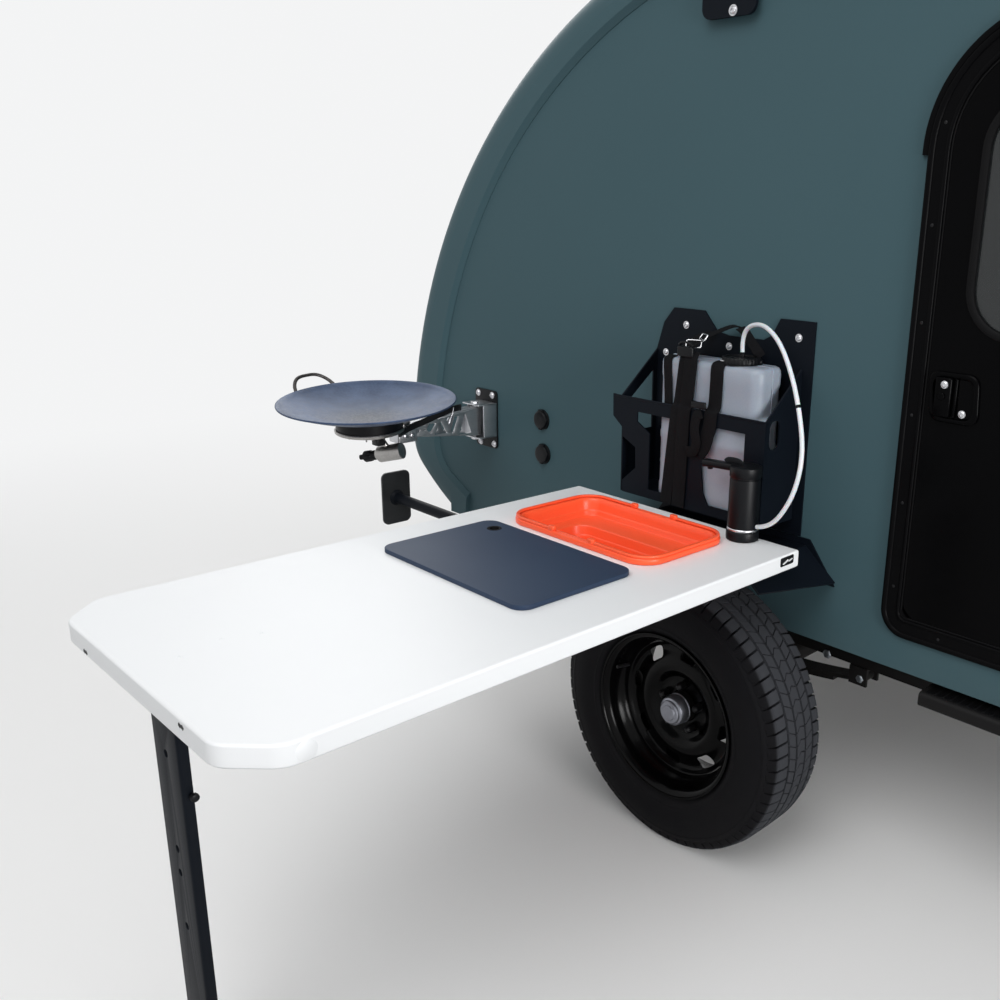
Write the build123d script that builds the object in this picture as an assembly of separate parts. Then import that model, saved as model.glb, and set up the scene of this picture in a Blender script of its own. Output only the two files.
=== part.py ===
from build123d import *
import math
import os

# Teardrop camping trailer with its side kitchen set out, in millimetres.
# It is drawn with X forward from the axle, Y to the left and Z up from the ground,
# and moved at the end so that the origin is under the middle of its box.

# Body outline, in the X-Z plane, from the highest point of the roof
body_bottom = 556
far = 3000
wall_y = 760
rim_proud = 15
rim_chamfer = 13
edge_radius = 85
shell_wall = 30
side_wall_thickness = 30
crown = (96, 2186)
# columns: arc radius, turn in degrees
rear_arcs = ((1519, 85.6), (150, 54.4), (1000, 14))
front_arcs = ((4500, 12), (780, 75), (1500, 28), (180, 25), (1000, 12))
# the raised rim's inner edge, in the same form
rim_crown = (141, 2080)
rim_rear_arcs = ((1376, 86.5), (110, 64), (1500, 4.4))
rim_front_arcs = ((3800, 12), (640, 76), (1400, 27), (150, 37), (1500, 4))
rim_foot_lean = 20
panel_gap = 0.3
swing_gap = 6

# Floor and inside
floor_thickness = 40
bulkhead_x = -640
board_thickness = 18
counter_z = 1010
counter_back_gap = 60
divider_y = 450
mattress_length, mattress_height = 1800, 90
mattress_side_gap = 40
mattress_x = 380
mattress_radius = 60
soft_gap = 0.5

# Doors
door_rear, door_front = 425, 1085
door_low, door_high = 636, 1880
door_top_radii = (240, 260)
door_low_radius = 60
frame_width = 45
frame_lap = 20
frame_proud = 7
leaf_gap = 6
leaf_thickness = 35
window_rear, window_front = 545, 965
window_low, window_high = 1300, 1730
window_radius = 90
glass_thickness = 6
glass_inset = 6
latch_size = (117, 20, 104)
latch_centre = (536, 1173)
hinge_heights = (860, 1240, 1600)
hinge_length = 90
hinge_knuckle_radius = 8
hinge_pin_radius = 4
pin_gap = 0.3
hinge_leaf = 3

# Rear hatch
hatch_half_width = 615
hatch_top_angle = 111.5
hatch_low_angle = 172
hatch_hinge_y = 420
hatch_hinge_rise = 12
hatch_handle = (240, 26, 40)

# Roof
vent_x = 330
vent_size = 360
vent_hole = 290
vent_wall = 12
vent_height = 46
vent_lid_height = 34
vent_corner, vent_top_round = 24, 18
vent_hinge_y, vent_ear = 110, (12, 24)
vent_pin_radius, vent_knuckle_radius = 3, 6
vent_axis_out, vent_axis_up = 10, 6
rack_bars_x = (-76, 1010)
rack_bar_section = (60, 34)
rack_rise = 50
rack_reach = 37
rack_foot_size = (150, 8)
rack_foot_drop = 311
rack_foot_height = 190
rack_foot_radius = 24
rack_pad = (34, 20, 88)
rack_arm_inset = 20
light_size = (26, 60, 130)
light_z = 1010
light_y = 690

# Chassis
rail_y, rail_section = 640, (50, 75)
rail_rear, rail_front = -1215, 1300
cross_members_x = (-1190, -620, 0, 620, 1275)
tongue_section = (50, 75)
tongue_rear = (760, 600)
tongue_tip = (2480, 62)
coupler_nose_x = 2720
coupler_width = 90
coupler_height = 78
ball_radius = 25.9
ball_depth = 42
ball_back = 60
jack_x = 2170
jack_outer_radius, jack_wall = 32, 4
jack_inner_radius = 27.5
jack_top, jack_low = 860, 330
jack_foot = (170, 12)
jack_plate_thickness = 10
step_x = (545, 1235)
step_section = (70, 34)
step_y = 752
step_z = 520
step_brackets_x = (640, 1140)

# Axle, springs and wheels
tyre_radius, tyre_width = 344, 203
tread_width = 158
rim_radius, rim_half = 203, 92
# heights of the sidewall's two bends, as shares of the way from rim to shoulder
sidewall_bends = (0.252, 0.635)
shoulder_drop, shoulder_in = 26, 12
sidewall_radius = 30
tread_round = (22, 6)
wheel_y = 913
hub_face = 20
axle_radius = 32
spindle_radius = 17
drum_radius, drum_width = 125, 62
spring_y = 640
spring_eye_x = 330
spring_leaves = ((660, 0), (520, 1), (360, 2), (220, 3))
spring_leaf = (45, 9)
hanger_width = 60
eye_radius = 16

# Fenders
fender_top_z = 782
fender_flange_z = 798
fender_half_top, fender_half_low = 217, 300
fender_low_z = 712
fender_outer_y = 1008
fender_outer_half_low = 268
fender_outer_low_z = 742
fender_sheet = 4

# Table
table_x = (-413, 288)
table_y = (-2147, -897)
table_top_z = 820
table_thickness = table_top_z - fender_top_z
table_corner = 68
table_edge = 5
leg_size = (98, 18)
leg_wall = 3
leg_face_y = -2108
leg_pivot_drop = 30
leg_pin_radius = 6
leg_holes_z = (670, 495, 450, 345)
leg_hole_radius = 7
leg_ear, leg_ear_depth = 6, 32

# Sink tub and cutting board
tub_x, tub_y = (-297, 150), (-1238, -963)
tub_rim_radius, tub_rim_width, tub_rim_height = 58, 20, 14
tub_ledge_z, tub_ledge_width = 790, 70
tub_floor_z, tub_wall = 742, 3
tub_cut_gap = 1
board_x, board_y = (-305, 154), (-1566, -1272)
board_height, board_radius = 10, 30
board_hole = (-243, -1312, 12)

# Tap pump, water tank and holder
pump_centre, pump_radius, pump_height = (155, -929), 36, 168
spout_size = (24, 105, 16)
spout_turn = 10
tank_x, tank_y, tank_z = (-163, 139), (-879, -779), (846, 1190)
tank_radius = 28
tank_cap = (48, -829, 45, 16)
holder_plate = 4
holder_ears = (-218, -120, 103, 198)
holder_top_z, holder_web_z, holder_dip_z = 1292, 1186, 1240
holder_webs_x = (-272, 167)
holder_tip_x, holder_right_x = -300, 171
holder_front_y = -885
holder_bar_z = (1050, 1080)
holder_low_z = 835
# the front plate's left side, from its tip down to its foot, and the two windows
holder_left = ((-300, 1080), (-299, 1025), (-267, 1000), (-266, 978), (-220, 956), (-218, 904),
               (-263, 865), (-262, 835))
holder_windows = (((-216, 1046), (-106, 1046), (-106, 858), (-174, 858), (-174, 998), (-216, 1022)),
                  ((34, 1046), (116, 1046), (116, 858), (18, 858), (2, 884), (-8, 952), (8, 984)))
holder_web_hole = ((-872, 1060), (-778, 1134), (-778, 985), (-872, 985))
holder_slot = ((-872, -836), (1014, 1080))
strap_thickness = 2
# straps down the tank's front: middle, width and how far each runs back over the top
straps_table = ((-72, 53, 24), (22, 38, 0))

# Water hose, from the cap over and down to the pump
hose_diameter = 10
gland_length = 16
hose_points = [(50, -829, 1216), (48, -830, 1250), (72, -838, 1279), (122, -850, 1286),
               (180, -868, 1254), (232, -890, 1190), (274, -914, 1118), (300, -930, 1040),
               (294, -938, 964), (262, -938, 900), (224, -932, 864), (193, -929, 856)]

# Stove arm, burner and pan
stove_x = -965
stove_plate_x, stove_plate_z = (-1030, -925), (810, 985)
stove_plate_thickness = 5
stove_pivot_y = -818
stove_ear_z = (850, 946)
stove_ear, stove_yoke_half, stove_side = 4, 40, 3
arm_width, arm_sheet = 48, 3
arm_y = (-1052, -838)
arm_height = (88, 32)
arm_z = 898
pan_centre = (-965, -1181, 997)
pan_tilt = (3.2, 2.5, 0)
pan_radius, pan_depth, pan_sheet = 241, 52, 3
ring_radius, ring_height, ring_sheet = 90, 40, 4
clamp_reach = 52
burner_turn = -59
pan_handle_half, pan_handle_rise, pan_handle_radius = 68, 40, 5
pan_handle_reach, pan_handle_turn = 44, 7

# Sockets, stabiliser legs and plate
socket_places = ((-718, 931), (-713, 830))
socket_radius, socket_proud = 30, 14
stab_y, stab_z = 699, 492
stab_pivot_x, stab_foot_x = -1165, -1606
stab_radius = 23
stab_foot = (10, 118, 198)
stab_pin_radius = 8
plate_size = (12, 310, 160)
plate_z = 1000
handle_z = 1130

parts = {}


# Small helpers
def block(x, y, z):
    """A box between two corners, given as (low, high) for each axis."""
    size = (x[1] - x[0], y[1] - y[0], z[1] - z[0])
    return Pos((x[0] + x[1]) / 2, (y[0] + y[1]) / 2, (z[0] + z[1]) / 2) * Box(*size)


def rod(start, end, radius):
    """A round bar between two points."""
    start, end = Vector(start), Vector(end)
    path = end - start
    return extrude(Plane(origin=start, z_dir=path) * Circle(radius), path.length)


def slab(face, y_low, y_high):
    """A face drawn in X and Z, made solid between two Y planes."""
    return extrude(Pos(0, y_high, 0) * (Plane.XZ * face), y_high - y_low, dir=(0, -1, 0))


def polygon(points):
    return make_face(Polyline(*points, close=True))


def rounded_rect(x, y, radius):
    face = Rectangle(x[1] - x[0], y[1] - y[0])
    face = fillet(face.vertices(), radius)
    return Pos((x[0] + x[1]) / 2, (y[0] + y[1]) / 2) * face


def both_sides(name, shape):
    """Store a right-hand piece and its mirror image."""
    parts[name + "_right"] = shape
    parts[name + "_left"] = mirror(shape, about=Plane.XZ)


def pair(name, shape):
    """Store a right-hand piece and its mirror image as one node."""
    both = [*shape.solids(), *mirror(shape, about=Plane.XZ).solids()]
    parts[name] = Compound(children=both)


def outline(top, rear, front, inset=0.0, lean=0.0):
    """A closed outline of tangent arcs, drawn both ways from the crown and closed underground."""
    arcs, ends = [], []
    for table, way, heading in ((rear, 1, 180.0), (front, -1, 0.0)):
        point = Vector(top[0], top[1] - inset)
        for radius, turn in table:
            tangent = (math.cos(math.radians(heading)), math.sin(math.radians(heading)))
            arc = JernArc(start=point, tangent=tangent, radius=radius - inset, arc_size=way * turn)
            arcs.append(arc.edge())
            point = arc @ 1
            heading += way * turn
        ends.append(point)
    low = body_bottom - 60
    foot = Polyline(ends[0], (ends[0].X - lean, low), (ends[1].X + lean, low), ends[1])
    return Face(Wire([*arcs, *foot.edges()]))


above_bottom = block((-far, far), (-far, far), (body_bottom, far))

# Body shell
shell_half = wall_y + rim_proud
outer_face = outline(crown, rear_arcs, front_arcs)
rim_face = outline(rim_crown, rim_rear_arcs, rim_front_arcs, lean=rim_foot_lean)
outer_body = slab(outer_face, -shell_half, shell_half)
side_edges = [e for e in outer_body.edges()
              if abs(abs(e.center().Y) - shell_half) < 1 and e.geom_type == GeomType.CIRCLE]
outer_body = fillet(side_edges, edge_radius) & above_bottom
cavity_half = wall_y - side_wall_thickness
cavity_face = outline(crown, rear_arcs, front_arcs, inset=shell_wall)
rim_opening = slab(rim_face, -shell_half - 1, shell_half + 1)


def ring_sector(inner, outer, low_angle, high_angle, half_width):
    """A piece of the rear curve's wall between two angles about its centre."""
    centre = (crown[0], crown[1] - rear_arcs[0][0])
    corners = []
    for radius, angle in ((inner, low_angle), (outer, low_angle), (outer, high_angle), (inner, high_angle)):
        turn = math.radians(angle)
        corners.append((centre[0] + radius * math.cos(turn), centre[1] + radius * math.sin(turn)))
    middle = math.radians((low_angle + high_angle) / 2)
    arc_out = ThreePointArc(corners[1], (centre[0] + outer * math.cos(middle),
                                         centre[1] + outer * math.sin(middle)), corners[2])
    arc_in = ThreePointArc(corners[3], (centre[0] + inner * math.cos(middle),
                                        centre[1] + inner * math.sin(middle)), corners[0])
    sides = [Line(corners[0], corners[1]), Line(corners[2], corners[3])]
    face = Face(Wire([sides[0].edge(), arc_out.edge(), sides[1].edge(), arc_in.edge()]))
    return slab(face, -half_width, half_width)


rear_radius = rear_arcs[0][0]
rear_centre = (crown[0], crown[1] - rear_radius)
gap_angle = math.degrees(swing_gap / rear_radius)
hatch_opening = ring_sector(rear_radius - shell_wall - 30, rear_radius + 30, hatch_top_angle,
                            hatch_low_angle, hatch_half_width)
hatch_leaf = ring_sector(rear_radius - shell_wall, rear_radius, hatch_top_angle + gap_angle,
                         hatch_low_angle - gap_angle, hatch_half_width - swing_gap)
vent_opening = block((vent_x - vent_hole / 2, vent_x + vent_hole / 2),
                     (-vent_hole / 2, vent_hole / 2), (crown[1] - 150, crown[1] + 50))
body_shell = outer_body - slab(cavity_face, -cavity_half, cavity_half) - rim_opening
rim_edges = [e for e in body_shell.edges()
             if abs(abs(e.center().Y) - shell_half) < 1 and e.geom_type == GeomType.CIRCLE
             and e.radius in [radius for radius, turn in rim_rear_arcs + rim_front_arcs]]
body_shell = chamfer(rim_edges, rim_chamfer)
body_shell = body_shell - hatch_opening - vent_opening
parts["body_shell"] = body_shell


# Door outline and what follows from it
def door_face(inset):
    corners = [(door_rear + inset, door_low + inset), (door_front - inset, door_low + inset),
               (door_front - inset, door_high - inset), (door_rear + inset, door_high - inset)]
    face = polygon(corners)
    low = [v for v in face.vertices() if v.Y < (door_low + door_high) / 2]
    face = fillet(low, door_low_radius - inset * 0.5)
    for x, radius in zip((door_rear + inset, door_front - inset), door_top_radii):
        corner = [v for v in face.vertices()
                  if abs(v.X - x) < 0.01 and abs(v.Y - (door_high - inset)) < 0.01]
        face = fillet(corner, radius - inset)
    return face


panel_face = outline((rim_crown[0], rim_crown[1]), rim_rear_arcs, rim_front_arcs,
                     inset=panel_gap, lean=rim_foot_lean)
side_wall = slab(panel_face, -wall_y, -cavity_half) & above_bottom
side_wall -= slab(door_face(frame_lap), -wall_y - 1, -cavity_half + 1)
both_sides("side_wall", side_wall)

frame_face_y = -wall_y - frame_proud
frame_flange = slab(door_face(0), frame_face_y, -wall_y)
frame_neck = slab(door_face(frame_lap + panel_gap), -wall_y, -cavity_half)
frame_hole = slab(door_face(frame_width), frame_face_y - 1, -cavity_half + 1)
door_frame = frame_flange + frame_neck - frame_hole

leaf_inset = frame_width + leaf_gap
leaf_inner_y = frame_face_y + leaf_thickness
door_leaf = slab(door_face(leaf_inset), frame_face_y, leaf_inner_y)
window_face = rounded_rect((window_rear, window_front), (window_low, window_high), window_radius)
door_leaf -= slab(window_face, frame_face_y - 1, leaf_inner_y + 1)
glass_face = rounded_rect((window_rear + panel_gap, window_front - panel_gap),
                          (window_low + panel_gap, window_high - panel_gap), window_radius - panel_gap)
glass = slab(glass_face, frame_face_y + glass_inset, frame_face_y + glass_inset + glass_thickness)

# Door hinges: pins and ears on the frame, knuckles on the leaf
hinge_x = door_front - frame_width - leaf_gap / 2
hinge_y = frame_face_y - hinge_knuckle_radius - 1
ear_length = hinge_length / 3
leaf_plate = 34
for z in hinge_heights:
    half = hinge_length / 2
    pin = rod((hinge_x, hinge_y, z - half), (hinge_x, hinge_y, z + half), hinge_pin_radius)
    door_frame += pin
    for low in (z - half, z + half - ear_length):
        span = (low, low + ear_length)
        ear = rod((hinge_x, hinge_y, span[0]), (hinge_x, hinge_y, span[1]), hinge_knuckle_radius)
        ear += block((hinge_x, hinge_x + leaf_plate), (hinge_y, hinge_y + hinge_leaf), span)
        ear += block((hinge_x + hinge_knuckle_radius, hinge_x + leaf_plate), (hinge_y, frame_face_y), span)
        door_frame += ear
    span = (z - half + ear_length + 1, z + half - ear_length - 1)
    knuckle = rod((hinge_x, hinge_y, span[0]), (hinge_x, hinge_y, span[1]), hinge_knuckle_radius)
    knuckle += block((hinge_x - leaf_plate, hinge_x), (hinge_y, hinge_y + hinge_leaf), span)
    knuckle += block((hinge_x - leaf_plate, hinge_x - hinge_knuckle_radius), (hinge_y, frame_face_y), span)
    knuckle -= rod((hinge_x, hinge_y, span[0] - 1), (hinge_x, hinge_y, span[1] + 1),
                   hinge_pin_radius + pin_gap)
    door_leaf += knuckle
both_sides("door_frame", door_frame)
both_sides("door", door_leaf)
both_sides("door_window", glass)

latch = Pos(latch_centre[0], frame_face_y - latch_size[1] / 2, latch_centre[1]) * Box(*latch_size)
latch = fillet([e for e in latch.edges() if e.center().Y < frame_face_y - latch_size[1] + 1
                or abs(e.center().Y - (frame_face_y - latch_size[1] / 2)) < 1], 6)
both_sides("door_latch", latch)

# Floor, bulkhead, galley counter and mattress
floor_top = body_bottom + floor_thickness
floor_face = outline(crown, rear_arcs, front_arcs, inset=shell_wall + panel_gap)
floor_zone = block((-far, far), (-cavity_half + panel_gap, cavity_half - panel_gap),
                   (body_bottom, floor_top))
parts["floor_pan"] = slab(floor_face, -cavity_half, cavity_half) & floor_zone
inside = slab(floor_face, -cavity_half + panel_gap, cavity_half - panel_gap)
parts["bulkhead"] = inside & block((bulkhead_x - board_thickness, bulkhead_x), (-far, far),
                                   (floor_top, far))
counter_zone = block((-far, bulkhead_x - board_thickness), (-far, far),
                     (counter_z, counter_z + board_thickness))
galley = (Pos(counter_back_gap, 0, 0) * inside) & counter_zone
for y in (-divider_y, 0, divider_y):
    divider = block((-far, bulkhead_x - board_thickness), (y - board_thickness / 2, y + board_thickness / 2),
                    (floor_top, counter_z))
    galley += (Pos(counter_back_gap, 0, 0) * inside) & divider
parts["galley_counter"] = galley
mattress_width = 2 * (cavity_half - mattress_side_gap)
mattress = Pos(mattress_x, 0, floor_top + soft_gap + mattress_height / 2) * Box(
    mattress_length, mattress_width, mattress_height)
parts["mattress"] = fillet(mattress.edges().filter_by(Axis.Z), mattress_radius)

# Rear hatch with its hinges, handle, lights and plate
hinge_turn = math.radians(hatch_top_angle + gap_angle / 2)
hatch_axis_radius = rear_radius + hatch_hinge_rise
hatch_axis = (rear_centre[0] + hatch_axis_radius * math.cos(hinge_turn),
              rear_centre[1] + hatch_axis_radius * math.sin(hinge_turn))
hatch_slope = math.degrees(hinge_turn) - 90
hatch_hinges = None
for y in (-hatch_hinge_y, hatch_hinge_y):
    pin = rod((hatch_axis[0], y - 45, hatch_axis[1]), (hatch_axis[0], y + 45, hatch_axis[1]),
              hinge_pin_radius)
    place = Pos(hatch_axis[0], y, hatch_axis[1]) * Rot(0, -hatch_slope, 0)
    fixed = pin
    for side in (-30, 30):
        fixed += rod((hatch_axis[0], y + side - 14, hatch_axis[1]),
                     (hatch_axis[0], y + side + 14, hatch_axis[1]), hinge_knuckle_radius)
        fixed += place * block((0, 60), (side - 14, side + 14), (-hatch_hinge_rise - 12, -4))
    fixed -= outer_body
    hatch_hinges = fixed if hatch_hinges is None else hatch_hinges + fixed
    knuckle = rod((hatch_axis[0], y - 15, hatch_axis[1]), (hatch_axis[0], y + 15, hatch_axis[1]),
                  hinge_knuckle_radius)
    knuckle += place * block((-60, -2), (-15, 15), (-hatch_hinge_rise - 3, -4))
    knuckle -= rod((hatch_axis[0], y - 50, hatch_axis[1]), (hatch_axis[0], y + 50, hatch_axis[1]),
                   hinge_pin_radius + pin_gap)
    hatch_leaf += knuckle
parts["hatch_hinges"] = hatch_hinges
parts["rear_hatch"] = hatch_leaf


def on_rear_curve(z, shape):
    """Set a shape drawn about X = 0 upright on the rear curve at a height."""
    rise = z - rear_centre[1]
    x = rear_centre[0] - math.sqrt(rear_radius ** 2 - rise ** 2)
    lean = math.degrees(math.asin(rise / rear_radius))
    return Pos(x, 0, z) * Rot(0, lean, 0) * shape


handle = on_rear_curve(handle_z, Pos(-hatch_handle[1] / 2, 0, 0)
                       * Box(hatch_handle[1], hatch_handle[0], hatch_handle[2]))
parts["hatch_handle"] = handle - outer_body
parts["number_plate"] = on_rear_curve(plate_z, Box(*plate_size)) - outer_body
depth, width, height = light_size
lamps = [on_rear_curve(light_z, Pos(0, side * light_y, 0) * Box(depth * 2, width, height)) - outer_body
         for side in (-1, 1)]
parts["tail_lights"] = lamps[0] + lamps[1]

# Roof vent and rack
half = vent_size / 2
vent_top = crown[1] + vent_height
below_roof = crown[1] - 2 * shell_wall
vent_base = block((vent_x - half, vent_x + half), (-half, half), (below_roof, vent_top))
vent_base = fillet(vent_base.edges().filter_by(Axis.Z), vent_corner) - outer_body
inner = vent_hole / 2 - 1
bore = inner - vent_wall
vent_base += block((vent_x - inner, vent_x + inner), (-inner, inner), (below_roof, vent_top))
vent_base -= block((vent_x - bore, vent_x + bore), (-bore, bore), (below_roof - 1, vent_top + 1))
axis_x, axis_z = vent_x + half + vent_axis_out, vent_top + vent_axis_up
vent_lid = block((vent_x - half, vent_x + half), (-half, half),
                 (axis_z - vent_pin_radius, vent_top + vent_lid_height))
vent_lid = fillet(vent_lid.edges().filter_by(Axis.Z), vent_corner)
vent_lid = fillet(vent_lid.faces().sort_by(Axis.Z)[-1].edges(), vent_top_round)
ear_in, ear_out = vent_ear
radius = vent_knuckle_radius
for y in (-vent_hinge_y, vent_hinge_y):
    vent_base -= block((axis_x - 3 * radius, axis_x), (y - ear_in, y + ear_in),
                       (axis_z - 2 * radius, vent_top + 1))
    vent_base += rod((axis_x, y - ear_out, axis_z), (axis_x, y + ear_out, axis_z), vent_pin_radius)
    for side in (-1, 1):
        span = sorted((y + side * ear_in, y + side * ear_out))
        vent_base += block((axis_x - 3 * radius, axis_x + radius), span, (vent_top - 3 * radius, vent_top))
        vent_base += block((axis_x - radius, axis_x + radius), span, (vent_top, axis_z + radius - 1))
    knuckle = rod((axis_x, y - ear_in + 1, axis_z), (axis_x, y + ear_in - 1, axis_z), radius)
    knuckle += block((vent_x + half - 4, axis_x), (y - ear_in + 1, y + ear_in - 1),
                     (axis_z - vent_pin_radius, axis_z + radius))
    knuckle -= rod((axis_x, y - ear_out, axis_z), (axis_x, y + ear_out, axis_z), vent_pin_radius + pin_gap)
    vent_lid += knuckle
parts["roof_vent_base"] = vent_base
parts["roof_vent_lid"] = vent_lid

bar_width, bar_height = rack_bar_section
rack_bar_z = crown[1] + rack_rise
rack_half_width = shell_half + rack_reach
foot_low = rack_bar_z - rack_foot_drop
bar_low = rack_bar_z - bar_height / 2
pad_half, pad_low, pad_high = rack_pad
bars, feet = None, None
for x in rack_bars_x:
    bar = block((x - bar_width / 2, x + bar_width / 2), (-rack_half_width, rack_half_width),
                (bar_low, bar_low + bar_height))
    bars = bar if bars is None else bars + bar
    half, sheet = rack_foot_size[0] / 2, rack_foot_size[1]
    arm_x = (x - half + rack_arm_inset, x + half - rack_arm_inset)
    for side in (-1, 1):
        wall = sorted((side * shell_half, side * (shell_half + sheet)))
        foot_z = (foot_low, foot_low + rack_foot_height)
        foot = slab(rounded_rect((x - half, x + half), foot_z, rack_foot_radius), *wall)
        foot += block(arm_x, wall, (foot_low + rack_foot_height / 2, bar_low))
        reach = sorted((side * (shell_half - 2 * half / 3), side * (shell_half + sheet)))
        foot += block(arm_x, reach, (bar_low - sheet, bar_low))
        foot -= outer_body
        pad = sorted((side * wall_y, side * shell_half))
        pad_span = (foot_low + pad_low, foot_low + pad_high)
        pad_face = rounded_rect((x - pad_half, x + pad_half), pad_span, pad_low)
        foot += slab(pad_face, *pad) - body_shell
        feet = foot if feet is None else feet + foot
parts["roof_rack_bars"] = bars
parts["roof_rack_feet"] = feet

# Chassis rails, cross members and tongue
rail_width, rail_height = rail_section
rail_low = body_bottom - rail_height
rail_in, rail_out = rail_y - rail_width / 2, rail_y + rail_width / 2
rails = [block((rail_rear, rail_front), sorted((side * rail_in, side * rail_out)), (rail_low, body_bottom))
         for side in (-1, 1)]
parts["chassis_rails"] = Compound(children=rails)
span = rail_y - rail_width / 2
crosses = [block((x - 25, x + 25), (-span, span), (rail_low + 15, body_bottom)) for x in cross_members_x]
parts["cross_members"] = Compound(children=crosses)
tube_width, tube_height = tongue_section
tongue_top = rail_low
tongue_low = tongue_top - tube_height
tubes = []
for side in (-1, 1):
    start = Vector(tongue_rear[0], side * tongue_rear[1])
    end = Vector(tongue_tip[0], side * tongue_tip[1])
    run = end - start
    across = Vector(-run.Y, run.X).normalized() * (tube_width / 2)
    face = polygon([start - across, end - across, end + across, start + across])
    tubes.append(Pos(0, 0, tongue_low) * extrude(face, tube_height))
parts["tongue_tubes"] = Compound(children=tubes)
coupler = block((tongue_tip[0] - 130, coupler_nose_x - coupler_width / 2),
                (-coupler_width / 2, coupler_width / 2), (tongue_low, tongue_low + coupler_height))
coupler += Pos(coupler_nose_x - coupler_width / 2, 0, tongue_low) * extrude(Circle(coupler_width / 2),
                                                                            coupler_height)
plate = polygon([(tongue_tip[0] - 170, -130), (tongue_tip[0] + 10, -coupler_width / 2),
                 (tongue_tip[0] + 10, coupler_width / 2), (tongue_tip[0] - 170, 130)])
coupler += Pos(0, 0, tongue_top) * extrude(plate, 8)
for tube in tubes:
    coupler -= tube
ball_x = coupler_nose_x - ball_back
coupler -= Pos(ball_x, 0, tongue_low - 1) * extrude(Circle(ball_radius), ball_depth + 1)
coupler += block((ball_x - 95, ball_x - 20), (-11, 11), (tongue_low + coupler_height - 1,
                                                         tongue_low + coupler_height + 26))
parts["coupler"] = coupler

# Tongue jack: outer tube on a plate across the tongue, sliding inner leg with a foot
reach_jack = tongue_rear[1] + (tongue_tip[1] - tongue_rear[1]) * (jack_x - 60 - tongue_rear[0]) / (
    tongue_tip[0] - tongue_rear[0])
jack_plate = block((jack_x - 60, jack_x + 60), (-reach_jack, reach_jack),
                   (tongue_top, tongue_top + jack_plate_thickness))
jack = jack_plate + Pos(jack_x, 0, jack_low) * extrude(Circle(jack_outer_radius), jack_top - jack_low)
jack -= Pos(jack_x, 0, jack_low - 1) * extrude(Circle(jack_outer_radius - jack_wall), jack_top - jack_low - 14)
jack += rod((jack_x - jack_outer_radius + 1, 0, jack_top - 30), (jack_x - 70, 0, jack_top - 30), 12)
jack += rod((jack_x - 62, 0, jack_top - 30), (jack_x - 62, 120, jack_top - 30), 6)
jack += rod((jack_x - 62, 112, jack_top - 30), (jack_x - 130, 112, jack_top - 30), 11)
parts["jack_housing"] = jack
foot_size, foot_thickness = jack_foot
jack_leg = Pos(jack_x, 0, foot_thickness) * extrude(Circle(jack_inner_radius), jack_low + 190)
pad = Pos(jack_x, 0, foot_thickness / 2) * Box(foot_size, foot_size, foot_thickness)
jack_leg += fillet(pad.edges().filter_by(Axis.Z), 20)
parts["jack_leg"] = jack_leg

# Side steps on brackets from the rails
step_half, step_height = step_section[0] / 2, step_section[1] / 2
step = block(step_x, (-step_y - step_half, -step_y + step_half), (step_z - step_height, step_z + step_height))
step = fillet(step.edges().filter_by(Axis.X), 10)
for x in step_brackets_x:
    step += block((x - 20, x + 20), (-step_y + step_half - 1, -rail_y - rail_width / 2),
                  (step_z - 12, step_z + 12))
pair("side_steps", step)

# Axle beam, springs, hangers
beam_half = wheel_y - 130
axle = rod((0, -beam_half, tyre_radius), (0, beam_half, tyre_radius), axle_radius)
for side in (-1, 1):
    for start, end, radius in ((beam_half - 10, wheel_y + hub_face, spindle_radius),
                               (beam_half - 14, beam_half - 4, drum_radius)):
        axle += rod((0, side * start, tyre_radius), (0, side * end, tyre_radius), radius)
parts["axle_beam"] = axle
leaf_width, leaf_height = spring_leaf
spring_top = tyre_radius + axle_radius + leaf_height * len(spring_leaves) + 4
springs, hangers = [], []
for side in (-1, 1):
    y = side * spring_y
    across = (y - leaf_width / 2, y + leaf_width / 2)
    rise = rail_low - eye_radius - 14 - spring_top
    bow = ThreePointArc((-spring_eye_x, spring_top + rise), (0, spring_top), (spring_eye_x, spring_top + rise))
    bow_radius = bow.radius
    bow_centre = (0, spring_top + bow_radius)
    pack = None
    for reach, row in spring_leaves:
        outer = bow_radius + leaf_height * row
        turn = reach / 2 / outer
        out_radius, in_radius = outer + leaf_height, outer
        points = [(r * math.sin(a), bow_centre[1] - r * math.cos(a))
                  for r, a in ((in_radius, -turn), (in_radius, 0), (in_radius, turn),
                               (out_radius, turn), (out_radius, 0), (out_radius, -turn))]
        wire = Wire([ThreePointArc(points[0], points[1], points[2]).edge(), Line(points[2], points[3]).edge(),
                     ThreePointArc(points[3], points[4], points[5]).edge(), Line(points[5], points[0]).edge()])
        leaf = slab(Face(wire), *across)
        pack = leaf if pack is None else pack + leaf
    eye_z = spring_top + rise
    for x in (-spring_eye_x, spring_eye_x):
        pack += rod((x, across[0], eye_z), (x, across[1], eye_z), eye_radius)
        ears = [block((x - 24, x + 24), sorted((y + way * leaf_width / 2, y + way * hanger_width / 2)),
                      (eye_z - eye_radius, rail_low)) for way in (-1, 1)]
        hangers.append(ears[0] + ears[1] + block((x - 24, x + 24), (y - hanger_width / 2, y + hanger_width / 2),
                                                 (rail_low - 6, rail_low)))
    seat_low = tyre_radius
    pack += block((-50, 50), across, (seat_low + axle_radius - 6, spring_top + 2))
    pack -= rod((0, across[0] - 1, tyre_radius), (0, across[1] + 1, tyre_radius), axle_radius)
    springs.append(pack)
parts["leaf_springs"] = Compound(children=springs)
parts["spring_hangers"] = Compound(children=hangers)

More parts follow.
